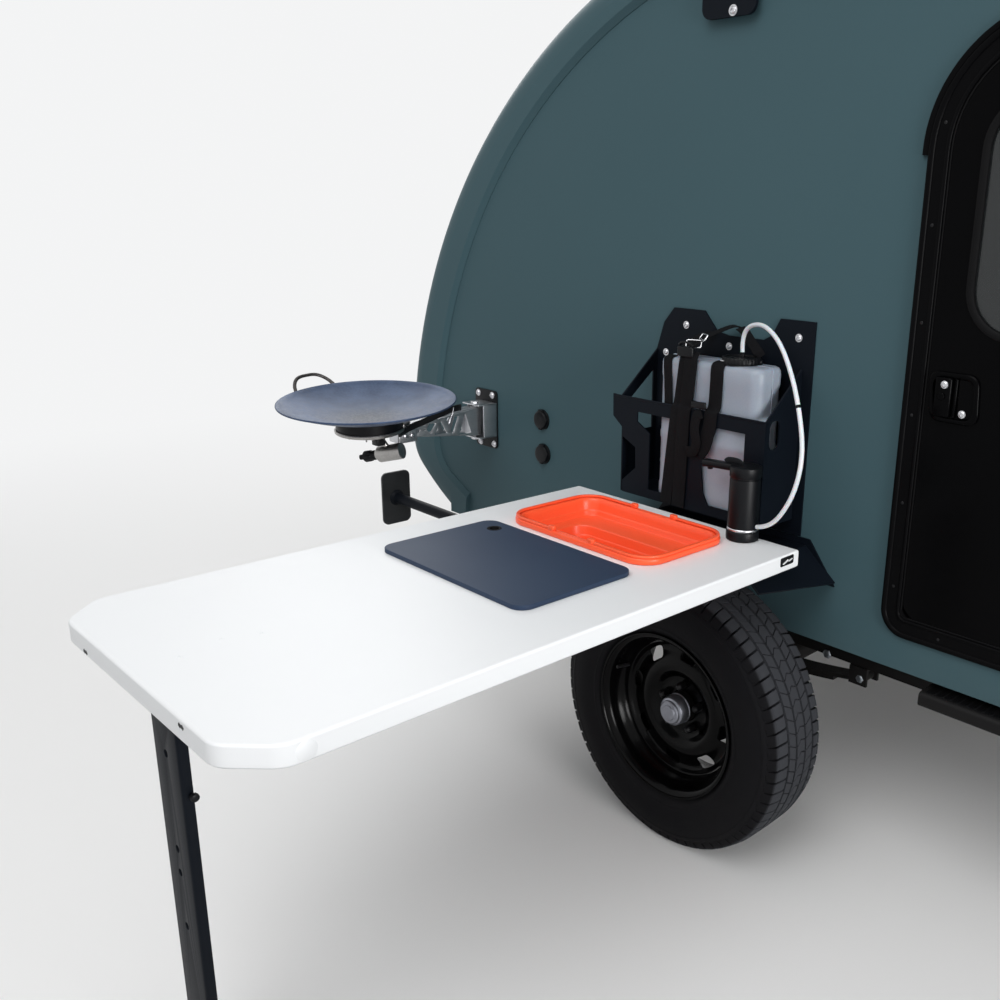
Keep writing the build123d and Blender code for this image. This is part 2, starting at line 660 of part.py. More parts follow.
# Hubs, wheels and tyres, turned about the axle
def turned(points, fillets=()):
    """Turn a profile given as (radius, distance outboard of the wheel's middle) about the axle."""
    face = polygon(points)
    for radius, picks in fillets:
        chosen = [v for v in face.vertices() if any(abs(v.X - p[0]) < 0.01 and abs(v.Y - p[1]) < 0.01
                                                    for p in picks)]
        face = fillet(chosen, radius)
    solid = revolve(face, Axis.Y)
    return Pos(0, -wheel_y, tyre_radius) * Rot(0, 0, 180) * solid


bore_radius = spindle_radius + pin_gap
drum_inner = -(wheel_y - beam_half - 4) + 1
drum_rim, drum_outer = drum_radius - 6, drum_inner + drum_width
hub = turned([(bore_radius, drum_inner), (drum_rim, drum_inner), (drum_rim, drum_outer), (70, drum_outer),
              (62, -8), (62, 6), (38, 6), (38, hub_face + 8), (bore_radius, hub_face + 8)])
hub_cap = turned([(0, hub_face + 3), (38, hub_face + 3), (36, hub_face + 34), (26, hub_face + 44),
                  (0, hub_face + 44)])
hub += hub_cap
both_sides("wheel_hub", hub)
wheel = turned([(rim_radius - 22, -rim_half), (rim_radius + 6, -rim_half), (rim_radius + 6, -rim_half + 8),
                (rim_radius - 8, -rim_half + 16), (rim_radius - 8, -60), (rim_radius - 26, -40),
                (rim_radius - 26, 34), (rim_radius - 8, 56), (rim_radius - 8, rim_half - 16),
                (rim_radius + 6, rim_half - 8), (rim_radius + 6, rim_half), (rim_radius - 12, rim_half - 2),
                (rim_radius - 13, 58), (rim_radius - 32, 36), (rim_radius - 40, 24),
                (150, 8), (118, 22), (88, 20), (76, 6), (38.3, 6), (38.3, 10), (74, 10), (84, 26),
                (116, 29), (148, 16), (rim_radius - 32, 8), (rim_radius - 32, -42),
                (rim_radius - 14, -62), (rim_radius - 14, -rim_half + 10)])
both_sides("wheel", wheel)
tyre_half = tyre_width / 2
tread_half = tread_width / 2
shoulder_r = tyre_radius - shoulder_drop
low_r, mid_r = [rim_radius + share * (shoulder_r - rim_radius) for share in sidewall_bends]
bend_radius = min(sidewall_radius, 0.7 * (mid_r - low_r))
round_in, round_drop = tread_round
half_tyre = [(tyre_radius, tread_half - round_in), (tyre_radius - round_drop, tread_half),
             (shoulder_r, tyre_half - shoulder_in), (mid_r, tyre_half), (low_r, tyre_half - 8),
             (rim_radius + 6.3, rim_half - 9), (rim_radius - 7.7, rim_half - 17)]
tyre = turned([*half_tyre, *[(r, -y) for r, y in reversed(half_tyre)]],
              fillets=[(bend_radius, [(low_r, -tyre_half + 8), (mid_r, -tyre_half),
                                          (low_r, tyre_half - 8), (mid_r, tyre_half)])])
both_sides("tyre", tyre)

# Fenders: sheet with a flat top, front and rear slopes and a flange on the wall
inner_profile = [(-fender_half_low, fender_low_z), (-fender_half_top, fender_top_z),
                 (fender_half_top, fender_top_z), (fender_half_low, fender_low_z)]
outer_profile = [(-fender_outer_half_low, fender_outer_low_z), (-fender_half_top, fender_top_z),
                 (fender_half_top, fender_top_z), (fender_outer_half_low, fender_outer_low_z)]


def fender_section(profile, y):
    under = [(x * (1 - fender_sheet / 400), z - fender_sheet) for x, z in reversed(profile)]
    return Pos(0, y, 0) * (Plane.XZ * polygon(profile + under))


fender = loft([fender_section(inner_profile, -wall_y), fender_section(outer_profile, -fender_outer_y)],
              ruled=True)
flange_low = fender_low_z - 10
half_flange = [(fender_half_top + 8, fender_flange_z), (fender_half_low, flange_low),
               (fender_half_low - 22, flange_low), (fender_half_top - 10, fender_top_z - 22)]
flange = polygon([*half_flange, *[(-x, z) for x, z in reversed(half_flange)]])
fender += slab(flange, -wall_y - fender_sheet, -wall_y)
pair("fenders", fender)

# Table with its cut-out for the tub
table = block(table_x, table_y, (fender_top_z, table_top_z))
outer_corners = [e for e in table.edges().filter_by(Axis.Z) if e.center().Y < sum(table_y) / 2]
table = chamfer(outer_corners, table_corner)
table = fillet(table.faces().sort_by(Axis.Z)[-1].edges(), table_edge)
well_x = (tub_x[0] + tub_rim_width, tub_x[1] - tub_rim_width)
well_y = (tub_y[0] + tub_rim_width, tub_y[1] - tub_rim_width)
well_radius = tub_rim_radius - tub_rim_width
cut = rounded_rect((well_x[0] - tub_cut_gap, well_x[1] + tub_cut_gap),
                   (well_y[0] - tub_cut_gap, well_y[1] + tub_cut_gap), well_radius + tub_cut_gap)
table -= Pos(0, 0, fender_top_z - 1) * extrude(cut, table_thickness + 2)
parts["table_top"] = table


def tub_layer(x, y, radius, low, high):
    return Pos(0, 0, low) * extrude(rounded_rect(x, y, radius), high - low)


def shrink(span, by):
    return (span[0] + by, span[1] - by)


basin_x = shrink(well_x, tub_ledge_width * 0.6)
basin_y = (well_y[0] + 24, well_y[1] - tub_ledge_width)
tub = tub_layer(tub_x, tub_y, tub_rim_radius, table_top_z, table_top_z + tub_rim_height)
tub += tub_layer(well_x, well_y, well_radius, tub_ledge_z - tub_wall, table_top_z + 1)
tub += tub_layer(basin_x, basin_y, well_radius, tub_floor_z - tub_wall, tub_ledge_z)
tub -= tub_layer(shrink(well_x, tub_wall), shrink(well_y, tub_wall), well_radius - tub_wall, tub_ledge_z,
                 table_top_z + tub_rim_height + 1)
tub -= tub_layer(shrink(basin_x, tub_wall), shrink(basin_y, tub_wall), well_radius - tub_wall, tub_floor_z,
                 tub_ledge_z + 1)
parts["sink_tub"] = tub
board = Pos(0, 0, table_top_z) * extrude(rounded_rect(board_x, board_y, board_radius), board_height)
board -= Pos(board_hole[0], board_hole[1], table_top_z - 1) * extrude(Circle(board_hole[2]), board_height + 2)
parts["cutting_board"] = board

# Table leg: channel hung on a pin between two ears under the table
leg_x = sum(table_x) / 2
leg_y = leg_face_y + leg_size[1] / 2
leg_pivot_z = fender_top_z - leg_pivot_drop
leg_half = leg_size[0] / 2
leg_pin_half = leg_half + 1 + leg_ear
leg_hinge = rod((leg_x - leg_pin_half, leg_y, leg_pivot_z), (leg_x + leg_pin_half, leg_y, leg_pivot_z),
                leg_pin_radius)
for side in (-1, 1):
    ear_x = sorted((leg_x + side * (leg_half + 1), leg_x + side * leg_pin_half))
    leg_hinge += block(ear_x, (leg_face_y, leg_face_y + leg_ear_depth), (leg_pivot_z - 14, fender_top_z))
parts["leg_hinge"] = leg_hinge
leg_top = leg_pivot_z + 14
leg = block((leg_x - leg_half, leg_x + leg_half), (leg_face_y, leg_face_y + leg_size[1]), (8, leg_top))
leg -= block((leg_x - leg_half + leg_wall, leg_x + leg_half - leg_wall), (leg_face_y + leg_wall, leg_face_y + 90),
             (14, leg_pivot_z - 20))
leg += block((leg_x - leg_half - 8, leg_x + leg_half + 8), (leg_face_y - 6, leg_face_y + leg_size[1] + 6),
             (0, 8))
for z in leg_holes_z:
    leg -= rod((leg_x, leg_face_y - 1, z), (leg_x, leg_face_y + leg_wall + 1, z), leg_hole_radius)
leg -= rod((leg_x - 200, leg_y, leg_pivot_z), (leg_x + 200, leg_y, leg_pivot_z), leg_pin_radius + pin_gap)
leg -= block((leg_x - 200, leg_x + 200), (leg_y, leg_y + 60), (leg_pivot_z + 14, fender_top_z + 1))
parts["table_leg"] = leg

# Tap pump standing on the table
pump = Pos(pump_centre[0], pump_centre[1], table_top_z) * extrude(Circle(pump_radius), pump_height)
pump = fillet(pump.edges().sort_by(Axis.Z)[-1], 5)
spout_width, spout_length, spout_height = spout_size
spout_z = table_top_z + pump_height - spout_height / 2
spout = Pos(-spout_length / 2, 0, 0) * Box(spout_length, spout_width, spout_height)
pump += Pos(pump_centre[0], pump_centre[1], spout_z) * Rot(0, 0, spout_turn) * spout
hose_end = Vector(*hose_points[-1])
hose_way_in = (hose_end - Vector(*hose_points[-2])).normalized()
pump += rod(hose_end, hose_end + hose_way_in * gland_length, hose_diameter / 2 + 1)
parts["tap_pump"] = pump

# Water tank
tank = block(tank_x, tank_y, tank_z)
tank = fillet(tank.edges().filter_by(Axis.Z), tank_radius)
tank = fillet(tank.faces().sort_by(Axis.Z)[-1].edges(), 12)
cap_x, cap_y, cap_radius, cap_height = tank_cap
tank += Pos(cap_x, cap_y, tank_z[1] - 1) * extrude(Circle(cap_radius), cap_height)
hose_start = Vector(*hose_points[0])
hose_way_out = (Vector(*hose_points[1]) - hose_start).normalized()
tank += rod(hose_start - hose_way_out * gland_length, hose_start, hose_diameter / 2 + 1)
parts["water_tank"] = tank

# Tank holder: back plate with ears, side plates, shelf and front plate
back_y = (-wall_y - holder_plate, -wall_y)
left_web_x, right_web_x = holder_webs_x
base_z = fender_flange_z + 2
ear_left, ear_inner_left, ear_inner_right, ear_right = holder_ears
back = polygon([(left_web_x, base_z), (ear_right, base_z), (ear_right, holder_top_z), (ear_inner_right, holder_top_z),
                (ear_inner_right - 22, holder_top_z - 40), (ear_inner_right - 44, holder_dip_z),
                (ear_inner_left + 76, holder_dip_z), (ear_inner_left + 40, holder_top_z - 44),
                (ear_inner_left, holder_top_z), (ear_left, holder_top_z), (ear_left - 32, holder_top_z - 38),
                (left_web_x, holder_web_z)])
holder = slab(back, *back_y)
bar_low, bar_high = holder_bar_z
web_face = polygon([(-wall_y - 1, holder_low_z), (holder_front_y, holder_low_z), (holder_front_y, bar_high),
                    (-wall_y - 1, holder_web_z)])
slot = Pos(sum(holder_slot[0]) / 2, sum(holder_slot[1]) / 2) * RectangleRounded(
    holder_slot[0][1] - holder_slot[0][0], holder_slot[1][1] - holder_slot[1][0], 16)
for x, hole in ((left_web_x, polygon(holder_web_hole)), (right_web_x, slot)):
    holder += Pos(x, 0, 0) * extrude(Plane.YZ * (web_face - hole), holder_plate)
shelf_top = tank_z[0] - panel_gap
holder += block((left_web_x, right_web_x + holder_plate), (holder_front_y, -wall_y - 1),
                (shelf_top - holder_plate, shelf_top))
front = polygon([*holder_left, (holder_right_x, holder_low_z), (holder_right_x, bar_high),
                 (holder_tip_x + 16, bar_high - 4), (holder_tip_x + 8, bar_high)])
for window in holder_windows:
    front -= polygon(window)
holder += slab(front, holder_front_y - holder_plate, holder_front_y)
window_low_z = holder_windows[0][2][1]
parts["tank_holder"] = holder

# Straps that hold the tank in the holder
straps = None
for x, strap_width, lap in straps_table:
    span_x = (x - strap_width / 2, x + strap_width / 2)
    front_y = tank_y[0] - soft_gap
    strap = block(span_x, (front_y - strap_thickness, front_y), (window_low_z, tank_z[1] + soft_gap))
    if lap:
        strap += block(span_x, (front_y - strap_thickness, tank_y[0] + lap),
                       (tank_z[1] + soft_gap, tank_z[1] + soft_gap + strap_thickness))
    straps = strap if straps is None else straps + strap
parts["tank_straps"] = straps

# Water hose: straight runs joined by tangent arcs
runs = [(Vector(*b) - Vector(*a)) for a, b in zip(hose_points, hose_points[1:])]
radii = []
for before, after in zip(runs, runs[1:]):
    half_turn = math.radians(before.get_angle(after)) / 2
    radii.append(0.45 * min(before.length, after.length) / math.tan(half_turn))
hose_path = FilletPolyline(*hose_points, radius=radii)
hose = sweep(Plane(origin=hose_points[0], z_dir=runs[0]) * Circle(hose_diameter / 2), path=hose_path)
parts["water_hose"] = hose
print("hose bend radii", [round(r) for r in radii], "length", round(hose_path.length),
      "volume ratio", round(hose.volume / (hose_path.length * math.pi * (hose_diameter / 2) ** 2), 4))

# Stove bracket, arm, burner and pan
wall_plate = block(stove_plate_x, (-wall_y - stove_plate_thickness, -wall_y), stove_plate_z)
wall_plate = fillet(wall_plate.edges().filter_by(Axis.Y), 8)
ear_low, ear_high = stove_ear_z
plate_y = -wall_y - stove_plate_thickness
yoke_x = (stove_x - stove_yoke_half, stove_x + stove_yoke_half)
yoke = block(yoke_x, (plate_y - stove_ear, plate_y), (ear_low - stove_ear, ear_high + stove_ear))
for low in (ear_low - stove_ear, ear_high):
    yoke += block(yoke_x, (stove_pivot_y - 16, plate_y), (low, low + stove_ear))
for side_x in ((yoke_x[0], yoke_x[0] + stove_side), (yoke_x[1] - stove_side, yoke_x[1])):
    yoke += block(side_x, (stove_pivot_y + 3, plate_y), (ear_low, ear_high))
yoke += rod((stove_x, stove_pivot_y, ear_low - 6), (stove_x, stove_pivot_y, ear_high + 8), 6)
parts["stove_bracket"] = yoke + wall_plate
arm_near, arm_far = arm_y[1], arm_y[0]
near, far = arm_height[0] / 2, arm_height[1] / 2
arm_side = polygon([(arm_near + 24, arm_z - near), (arm_far, arm_z - far), (arm_far, arm_z + far),
                    (arm_near + 24, arm_z + near)])
arm = None
for x in (stove_x - arm_width / 2, stove_x + arm_width / 2 - arm_sheet):
    web = Pos(x, 0, 0) * extrude(Plane.YZ * arm_side, arm_sheet)
    arm = web if arm is None else arm + web
truss = [(arm_near - 12, 1), (arm_near - 58, -1), (arm_near - 100, 1), (arm_near - 138, -1)]
for y, way in truss:
    run = (arm_near - y) / (arm_near - arm_far)
    tall = (near + (far - near) * run) - 12
    triangle = polygon([(y, arm_z - way * tall), (y - 44, arm_z - way * tall), (y - 22, arm_z + way * tall)])
    arm -= Pos(stove_x - 60, 0, 0) * extrude(Plane.YZ * triangle, 120)
arm_top = loft([Pos(0, arm_near, 0) * (Plane.XZ * polygon([
    (stove_x - arm_width / 2, arm_z + near - arm_sheet), (stove_x + arm_width / 2, arm_z + near - arm_sheet),
    (stove_x + arm_width / 2, arm_z + near), (stove_x - arm_width / 2, arm_z + near)])),
    Pos(0, arm_far, 0) * (Plane.XZ * polygon([
        (stove_x - arm_width / 2, arm_z + far - arm_sheet), (stove_x + arm_width / 2, arm_z + far - arm_sheet),
        (stove_x + arm_width / 2, arm_z + far), (stove_x - arm_width / 2, arm_z + far)]))], ruled=True)
arm += arm_top
arm += block((stove_x - arm_width / 2, stove_x + arm_width / 2), (stove_pivot_y - 26, stove_pivot_y - 12),
             (arm_z - near, arm_z + near))
arm += rod((stove_x, stove_pivot_y, arm_z - near), (stove_x, stove_pivot_y, arm_z + near), 14)
arm -= rod((stove_x, stove_pivot_y, 700), (stove_x, stove_pivot_y, 1100), 6 + pin_gap)
arm_x = (stove_x - arm_width / 2, stove_x + arm_width / 2)
arm += block(arm_x, (arm_far - 8, arm_far + 30), (arm_z - far, arm_z + far))
parts["stove_arm"] = arm
tilt = Pos(*pan_centre) * Rot(*pan_tilt)
sphere_radius = (pan_radius ** 2 + pan_depth ** 2) / (2 * pan_depth)
dish_angle = math.asin(pan_radius / sphere_radius)
half_angle = dish_angle / 2
inner_sphere = sphere_radius - pan_sheet


def dish_point(radius, angle):
    return (radius * math.sin(angle), sphere_radius - pan_depth - radius * math.cos(angle))


dish_wire = Wire([ThreePointArc(dish_point(sphere_radius, 0), dish_point(sphere_radius, half_angle),
                                dish_point(sphere_radius, dish_angle)).edge(),
                  Line(dish_point(sphere_radius, dish_angle), dish_point(inner_sphere, dish_angle)).edge(),
                  ThreePointArc(dish_point(inner_sphere, dish_angle), dish_point(inner_sphere, half_angle),
                                dish_point(inner_sphere, 0)).edge(),
                  Line(dish_point(inner_sphere, 0), dish_point(sphere_radius, 0)).edge()])
pan = revolve(Plane.XZ * Face(dish_wire), Axis.Z)
handle_root = math.sqrt(pan_radius ** 2 - pan_handle_half ** 2) - pan_handle_radius
grip = ThreePointArc((-handle_root, -pan_handle_half, -4), (-pan_radius - pan_handle_reach, 0, pan_handle_rise),
                     (-handle_root, pan_handle_half, -4)).edge()
pan += Rot(0, 0, pan_handle_turn) * sweep(Plane(origin=grip @ 0, z_dir=grip % 0) * Circle(pan_handle_radius),
                                          path=grip)
parts["griddle_pan"] = tilt * pan
seat_depth = sphere_radius - pan_depth - math.sqrt(sphere_radius ** 2 - ring_radius ** 2)
ring = Pos(0, 0, seat_depth - ring_height - 1) * (extrude(Circle(ring_radius), ring_height)
                                                  - Pos(0, 0, ring_sheet) * extrude(
                                                      Circle(ring_radius - ring_sheet), ring_height))
burner = ring + Pos(0, 0, seat_depth - ring_height - 1) * extrude(Circle(34), 22)
tube_z = seat_depth - ring_height - 30
burner += rod((0, 0, tube_z - 6), (0, 0, tube_z + 30), 16)
burner += Rot(0, 0, burner_turn) * (rod((0, 30, tube_z), (0, -60, tube_z), 19)
                                    + rod((0, -60, tube_z), (0, -100, tube_z), 9))
burner = tilt * burner
clamp = block(arm_x, (arm_far - clamp_reach, arm_far - 8),
              (arm_z - far, pan_centre[2] + seat_depth - ring_height + 12))
burner = burner + clamp
burner -= Pos(*pan_centre) * Rot(*pan_tilt) * Pos(0, 0, sphere_radius - pan_depth) * Sphere(sphere_radius)
parts["burner"] = burner

# Socket caps beside the stove
caps = [rod((x, -wall_y, z), (x, -wall_y - socket_proud, z), socket_radius) for x, z in socket_places]
parts["power_sockets"] = Compound(children=caps)

# Stabiliser legs: ears on the rails, tubes with a foot plate, folded level
outer_rail = -rail_y - rail_width / 2
far_ear = -stab_y - stab_radius - 4
ear_z = (stab_z - 30, stab_z + 30)
mount = block((stab_pivot_x - 34, stab_pivot_x + 46), (outer_rail - 8, outer_rail), ear_z)
mount += block((stab_pivot_x - 24, stab_pivot_x + 46), (far_ear - 8, far_ear), ear_z)
mount += block((stab_pivot_x + 38, stab_pivot_x + 46), (far_ear - 8, outer_rail), ear_z)
mount += rod((stab_pivot_x, outer_rail, stab_z), (stab_pivot_x, far_ear - 8, stab_z), stab_pin_radius)
pair("stabiliser_mounts", mount)
stab = rod((stab_pivot_x + 20, -stab_y, stab_z), (stab_foot_x, -stab_y, stab_z), stab_radius)
stab += Pos(stab_foot_x - stab_foot[0] / 2, -stab_y, stab_z) * Box(*stab_foot)
stab -= rod((stab_pivot_x, outer_rail, stab_z), (stab_pivot_x, far_ear - 8, stab_z), stab_pin_radius + pin_gap)
both_sides("stabiliser_leg", stab)

# Move everything so that the origin is under the middle of the box, and write the files
box = Compound(children=[p for shape in parts.values() for p in shape.solids()]).bounding_box()
shift = Pos(-box.center().X, -box.center().Y, -box.min.Z)
print("shift", shift.position, "size", box.size)
os.makedirs("parts", exist_ok=True)
for name, shape in parts.items():
    export_step(shift * shape, "parts/" + name + ".step")
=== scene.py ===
import math
import bmesh
import bpy
import numpy as np
from mathutils import Matrix, Vector


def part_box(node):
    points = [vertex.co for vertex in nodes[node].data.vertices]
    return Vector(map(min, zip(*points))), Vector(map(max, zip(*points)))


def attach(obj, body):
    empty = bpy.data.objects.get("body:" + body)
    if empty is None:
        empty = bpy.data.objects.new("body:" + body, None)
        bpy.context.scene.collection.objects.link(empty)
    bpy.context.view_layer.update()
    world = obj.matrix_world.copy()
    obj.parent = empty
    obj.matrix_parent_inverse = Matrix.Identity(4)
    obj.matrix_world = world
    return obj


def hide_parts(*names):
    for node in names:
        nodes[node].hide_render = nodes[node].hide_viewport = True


# Teardrop camping trailer with its side kitchen set out.
# Pieces are drawn in millimetres from the trailer's own zero: X forward from the axle, Y left from the
# middle, Z up from the floor. putPiece turns them into metres, and place carries them into the frame.
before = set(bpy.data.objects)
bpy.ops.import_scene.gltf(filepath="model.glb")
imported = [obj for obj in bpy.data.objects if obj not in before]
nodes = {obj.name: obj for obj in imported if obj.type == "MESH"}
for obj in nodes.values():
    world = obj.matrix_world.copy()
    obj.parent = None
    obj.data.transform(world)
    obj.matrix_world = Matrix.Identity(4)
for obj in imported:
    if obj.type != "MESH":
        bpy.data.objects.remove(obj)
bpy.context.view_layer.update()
mm = 0.001
wheelCentre = np.array((0.0, -913.0, 344.0))
place = np.round(np.mean([tuple(corner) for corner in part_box("tyre_right")], 0) - wheelCentre * mm, 4)

cameraSet = dict(spot=(1.402, -2.592, 1.497), azimuth=43.155, elevation=16.338, roll=1.629, lens=35.02,
                 sensor=36.0, shift=(-0.141, 0.005), clipEnd=200)
studio = dict(floor=(0.88, 0.88, 0.878), ground=(0.30, 0.30, 0.30), backdrop=(0.90, 0.905, 0.91),
              fade=(2.5, 6.5), halfFloor=40.0, floorRough=0.75, floorSpecular=0.2, sky=0.60,
              aim=(-0.3, -0.9, 0.9),
              lamps={"key": (158.0, (1.0, -4.5, 5.2), 4.5, 180),  # power, place, size, spread
                     "rim": (90.0, (-5.0, 1.5, 4.0), 3.5, 180),
                     "side": (25.0, (4.6, -1.9, 1.2), 2.2, 70)})


def addObject(name, data):
    thing = bpy.data.objects.new(name, data)
    bpy.context.scene.collection.objects.link(thing)
    return thing


# the camera stands at its spot, turned by azimuth and elevation and rolled about its own view
def setCamera(v):
    data = bpy.data.cameras.new("camera")
    data.lens, data.sensor_width, data.clip_end = v["lens"], v["sensor"], v["clipEnd"]
    data.shift_x, data.shift_y = v["shift"]
    a, e, r = (math.radians(v[k]) for k in ("azimuth", "elevation", "roll"))
    back = Vector((math.sin(a) * math.cos(e), -math.cos(a) * math.cos(e), math.sin(e)))
    right = Vector((math.cos(a), math.sin(a), 0))
    up = back.cross(right)
    across, upright = right * math.cos(r) + up * math.sin(r), up * math.cos(r) - right * math.sin(r)
    camera = addObject("camera", data)
    turn = Matrix((across, upright, back)).transposed().to_4x4()
    camera.matrix_world = Matrix.Translation(Vector(v["spot"]) + Vector(place)) @ turn
    bpy.context.scene.camera = camera


# a round lamp at its spot, turned to the aim
def softLamp(name, aim, power, spot, size, spread):
    data = bpy.data.lights.new(name, "AREA")
    data.shape, data.size, data.energy, data.spread = "DISK", size, power, math.radians(spread)
    lamp = addObject(name, data)
    lamp.location = Vector(spot) + Vector(place)
    lamp.rotation_euler = (Vector(aim) - Vector(spot)).to_track_quat("-Z", "Y").to_euler()


# feed sets a node's inputs by name or number, or links those that are given as another node's output
def feed(tree, node, inputs):
    for label, value in inputs.items():
        if isinstance(value, bpy.types.NodeSocket):
            tree.links.new(value, node.inputs[label])
        else:
            node.inputs[label].default_value = value
    return node.outputs


def addNode(tree, kind, inputs=(), **settings):
    node = tree.nodes.new("ShaderNode" + kind)
    for field, value in settings.items():
        setattr(node, field, value)
    return feed(tree, node, dict(inputs))


def addMath(tree, operation, *values):
    return addNode(tree, "Math", enumerate(values), operation=operation)[0]


def addRange(tree, value, fromLow, fromHigh, toLow, toHigh):
    return addNode(tree, "MapRange", {"Value": value, "From Min": fromLow, "From Max": fromHigh,
                                      "To Min": toLow, "To Max": toHigh})["Result"]


def addMix(tree, share, first, second):
    return addNode(tree, "Mix", {0: share, 6: first, 7: second}, data_type="RGBA")[2]


def addNoise(tree, where, scale, detail, rough=0.55):
    return addNode(tree, "TexNoise", {"Vector": where, "Scale": scale, "Detail": detail,
                                      "Roughness": rough})["Fac"]


# one where a camera, gloss or glass ray meets the surface, else nothing
def seenDirectly(tree):
    path = addNode(tree, "LightPath")
    either = addMath(tree, "MAXIMUM", path["Is Camera Ray"], path["Is Glossy Ray"])
    return addMath(tree, "MAXIMUM", either, path["Is Transmission Ray"])


def newMaterial(name):
    material = bpy.data.materials.new(name)
    material.use_nodes = True
    return material, material.node_tree, material.node_tree.nodes["Principled BSDF"]


# the world lights evenly, and is the backdrop where the camera, gloss or glass sees it
def setWorld(v):
    world = bpy.context.scene.world = bpy.data.worlds.new("studio")
    world.use_nodes = True
    tree = world.node_tree
    tree.nodes.clear()
    light = addNode(tree, "Background", {"Strength": v["sky"]})[0]
    seen = addNode(tree, "Background", {"Color": (*v["backdrop"], 1)})[0]
    mixed = addNode(tree, "MixShader", {0: seenDirectly(tree), 1: light, 2: seen})[0]
    addNode(tree, "OutputWorld", {0: mixed})


# the floor turns into the backdrop far from the trailer; seen directly it is pale, and the light it
# throws back is that of a darker ground
def setFloor(v):
    half = v["halfFloor"]
    mesh = bpy.data.meshes.new("floor")
    mesh.from_pydata([(-half, -half, 0), (half, -half, 0), (half, half, 0), (-half, half, 0)], [],
                     [(0, 1, 2, 3)])
    addObject("floor", mesh)
    material, tree, paint = newMaterial("floor")
    direct = seenDirectly(tree)
    pale = addMix(tree, direct, (*v["ground"], 1), (*v["floor"], 1))
    feed(tree, paint, {"Base Color": pale, "Roughness": v["floorRough"],
                       "Specular IOR Level": v["floorSpecular"]})
    where = addNode(tree, "TexCoord")["Object"]
    far = addNode(tree, "VectorMath", {0: where}, operation="LENGTH")["Value"]
    fade = addNode(tree, "MapRange", {"Value": far, "From Min": v["fade"][0], "From Max": v["fade"][1]},
                   interpolation_type="SMOOTHSTEP")["Result"]
    glow = addNode(tree, "Emission", {"Color": (*v["backdrop"], 1)})[0]
    join = addNode(tree, "MixShader", {0: addMath(tree, "MULTIPLY", fade, direct),
                                       1: paint.outputs[0], 2: glow})[0]
    feed(tree, tree.nodes["Material Output"], {"Surface": join})
    mesh.materials.append(material)


bpy.context.scene.view_settings.view_transform = "Standard"
setCamera(cameraSet)
setWorld(studio)
setFloor(studio)
for lampName, lampValues in studio["lamps"].items():
    softLamp(lampName, studio["aim"], *lampValues)
print("camera and studio are set")


# Shader groups that several finishes share
def newGroup(name, inputs, outputs):
    group = bpy.data.node_groups.new(name, "ShaderNodeTree")
    for label, (kind, value) in inputs.items():
        socket = group.interface.new_socket(label, in_out="INPUT", socket_type="NodeSocket" + kind)
        socket.default_value = value
    for label, kind in outputs.items():
        group.interface.new_socket(label, in_out="OUTPUT", socket_type="NodeSocket" + kind)
    return group, group.nodes.new("NodeGroupInput").outputs, group.nodes.new("NodeGroupOutput")


# tone: two noises, one broad and one fine, stretched along Stretch, mix Colour towards Second;
# Value is the fine noise alone, for roughness and bump
tone, given, put = newGroup("tone", {
    "Vector": ("Vector", (0, 0, 0)), "Colour": ("Color", (1, 1, 1, 1)), "Second": ("Color", (1, 1, 1, 1)),
    "Stretch": ("Vector", (1, 1, 1)), "Broad": ("Float", 2.0), "Fine": ("Float", 40.0),
    "Amount": ("Float", 0.5)}, {"Colour": "Color", "Value": "Float"})
stretched = addNode(tone, "VectorMath", {0: given["Vector"], 1: given["Stretch"]}, operation="MULTIPLY")[0]
broadNoise = addNoise(tone, stretched, given["Broad"], 3.0)
fineNoise = addNoise(tone, stretched, given["Fine"], 6.0, 0.65)
both = addMath(tone, "ADD", *(addRange(tone, noise, 0.35, 0.65, 0.0, 1.0)
                              for noise in (broadNoise, fineNoise)))
share = addMath(tone, "MULTIPLY", addMath(tone, "MULTIPLY", both, 0.5), given["Amount"])
feed(tone, put, {"Colour": addMix(tone, share, given["Colour"], given["Second"]), "Value": fineNoise})

# dust: from height High down to Low a patchy film of dust covers the colour and roughens it
dust, given, put = newGroup("dust", {
    "Vector": ("Vector", (0, 0, 0)), "Colour": ("Color", (1, 1, 1, 1)),
    "Dust": ("Color", (0.3, 0.26, 0.22, 1)), "Low": ("Float", 0.0), "High": ("Float", 0.5),
    "Amount": ("Float", 0.3)}, {"Colour": "Color", "Mask": "Float"})
upward = addNode(dust, "SeparateXYZ", {0: given["Vector"]})["Z"]
height = addRange(dust, upward, given["Low"], given["High"], 1.0, 0.0)
patches = addRange(dust, addNoise(dust, given["Vector"], 7.0, 8.0, 0.7), 0.35, 0.7, 0.25, 1.0)
film = addMath(dust, "MULTIPLY", addMath(dust, "MULTIPLY", height, patches), given["Amount"])
feed(dust, put, {"Colour": addMix(dust, film, given["Colour"], given["Dust"]), "Mask": film})

# weave: crossed sine threads along the piece's own UV, U across the strap and V along it
weave, given, put = newGroup("weave", {
    "Vector": ("Vector", (0, 0, 0)), "Across": ("Float", 40.0), "Along": ("Float", 400.0)},
    {"Height": "Float"})
split = addNode(weave, "SeparateXYZ", {0: given["Vector"]})
waves = [addMath(weave, "SINE", addMath(weave, "MULTIPLY", split[axis], given[label]))
         for axis, label in (("X", "Across"), ("Y", "Along"))]
feed(weave, put, {"Height": addMath(weave, "MULTIPLY_ADD", addMath(weave, "MULTIPLY", *waves), 0.5)})

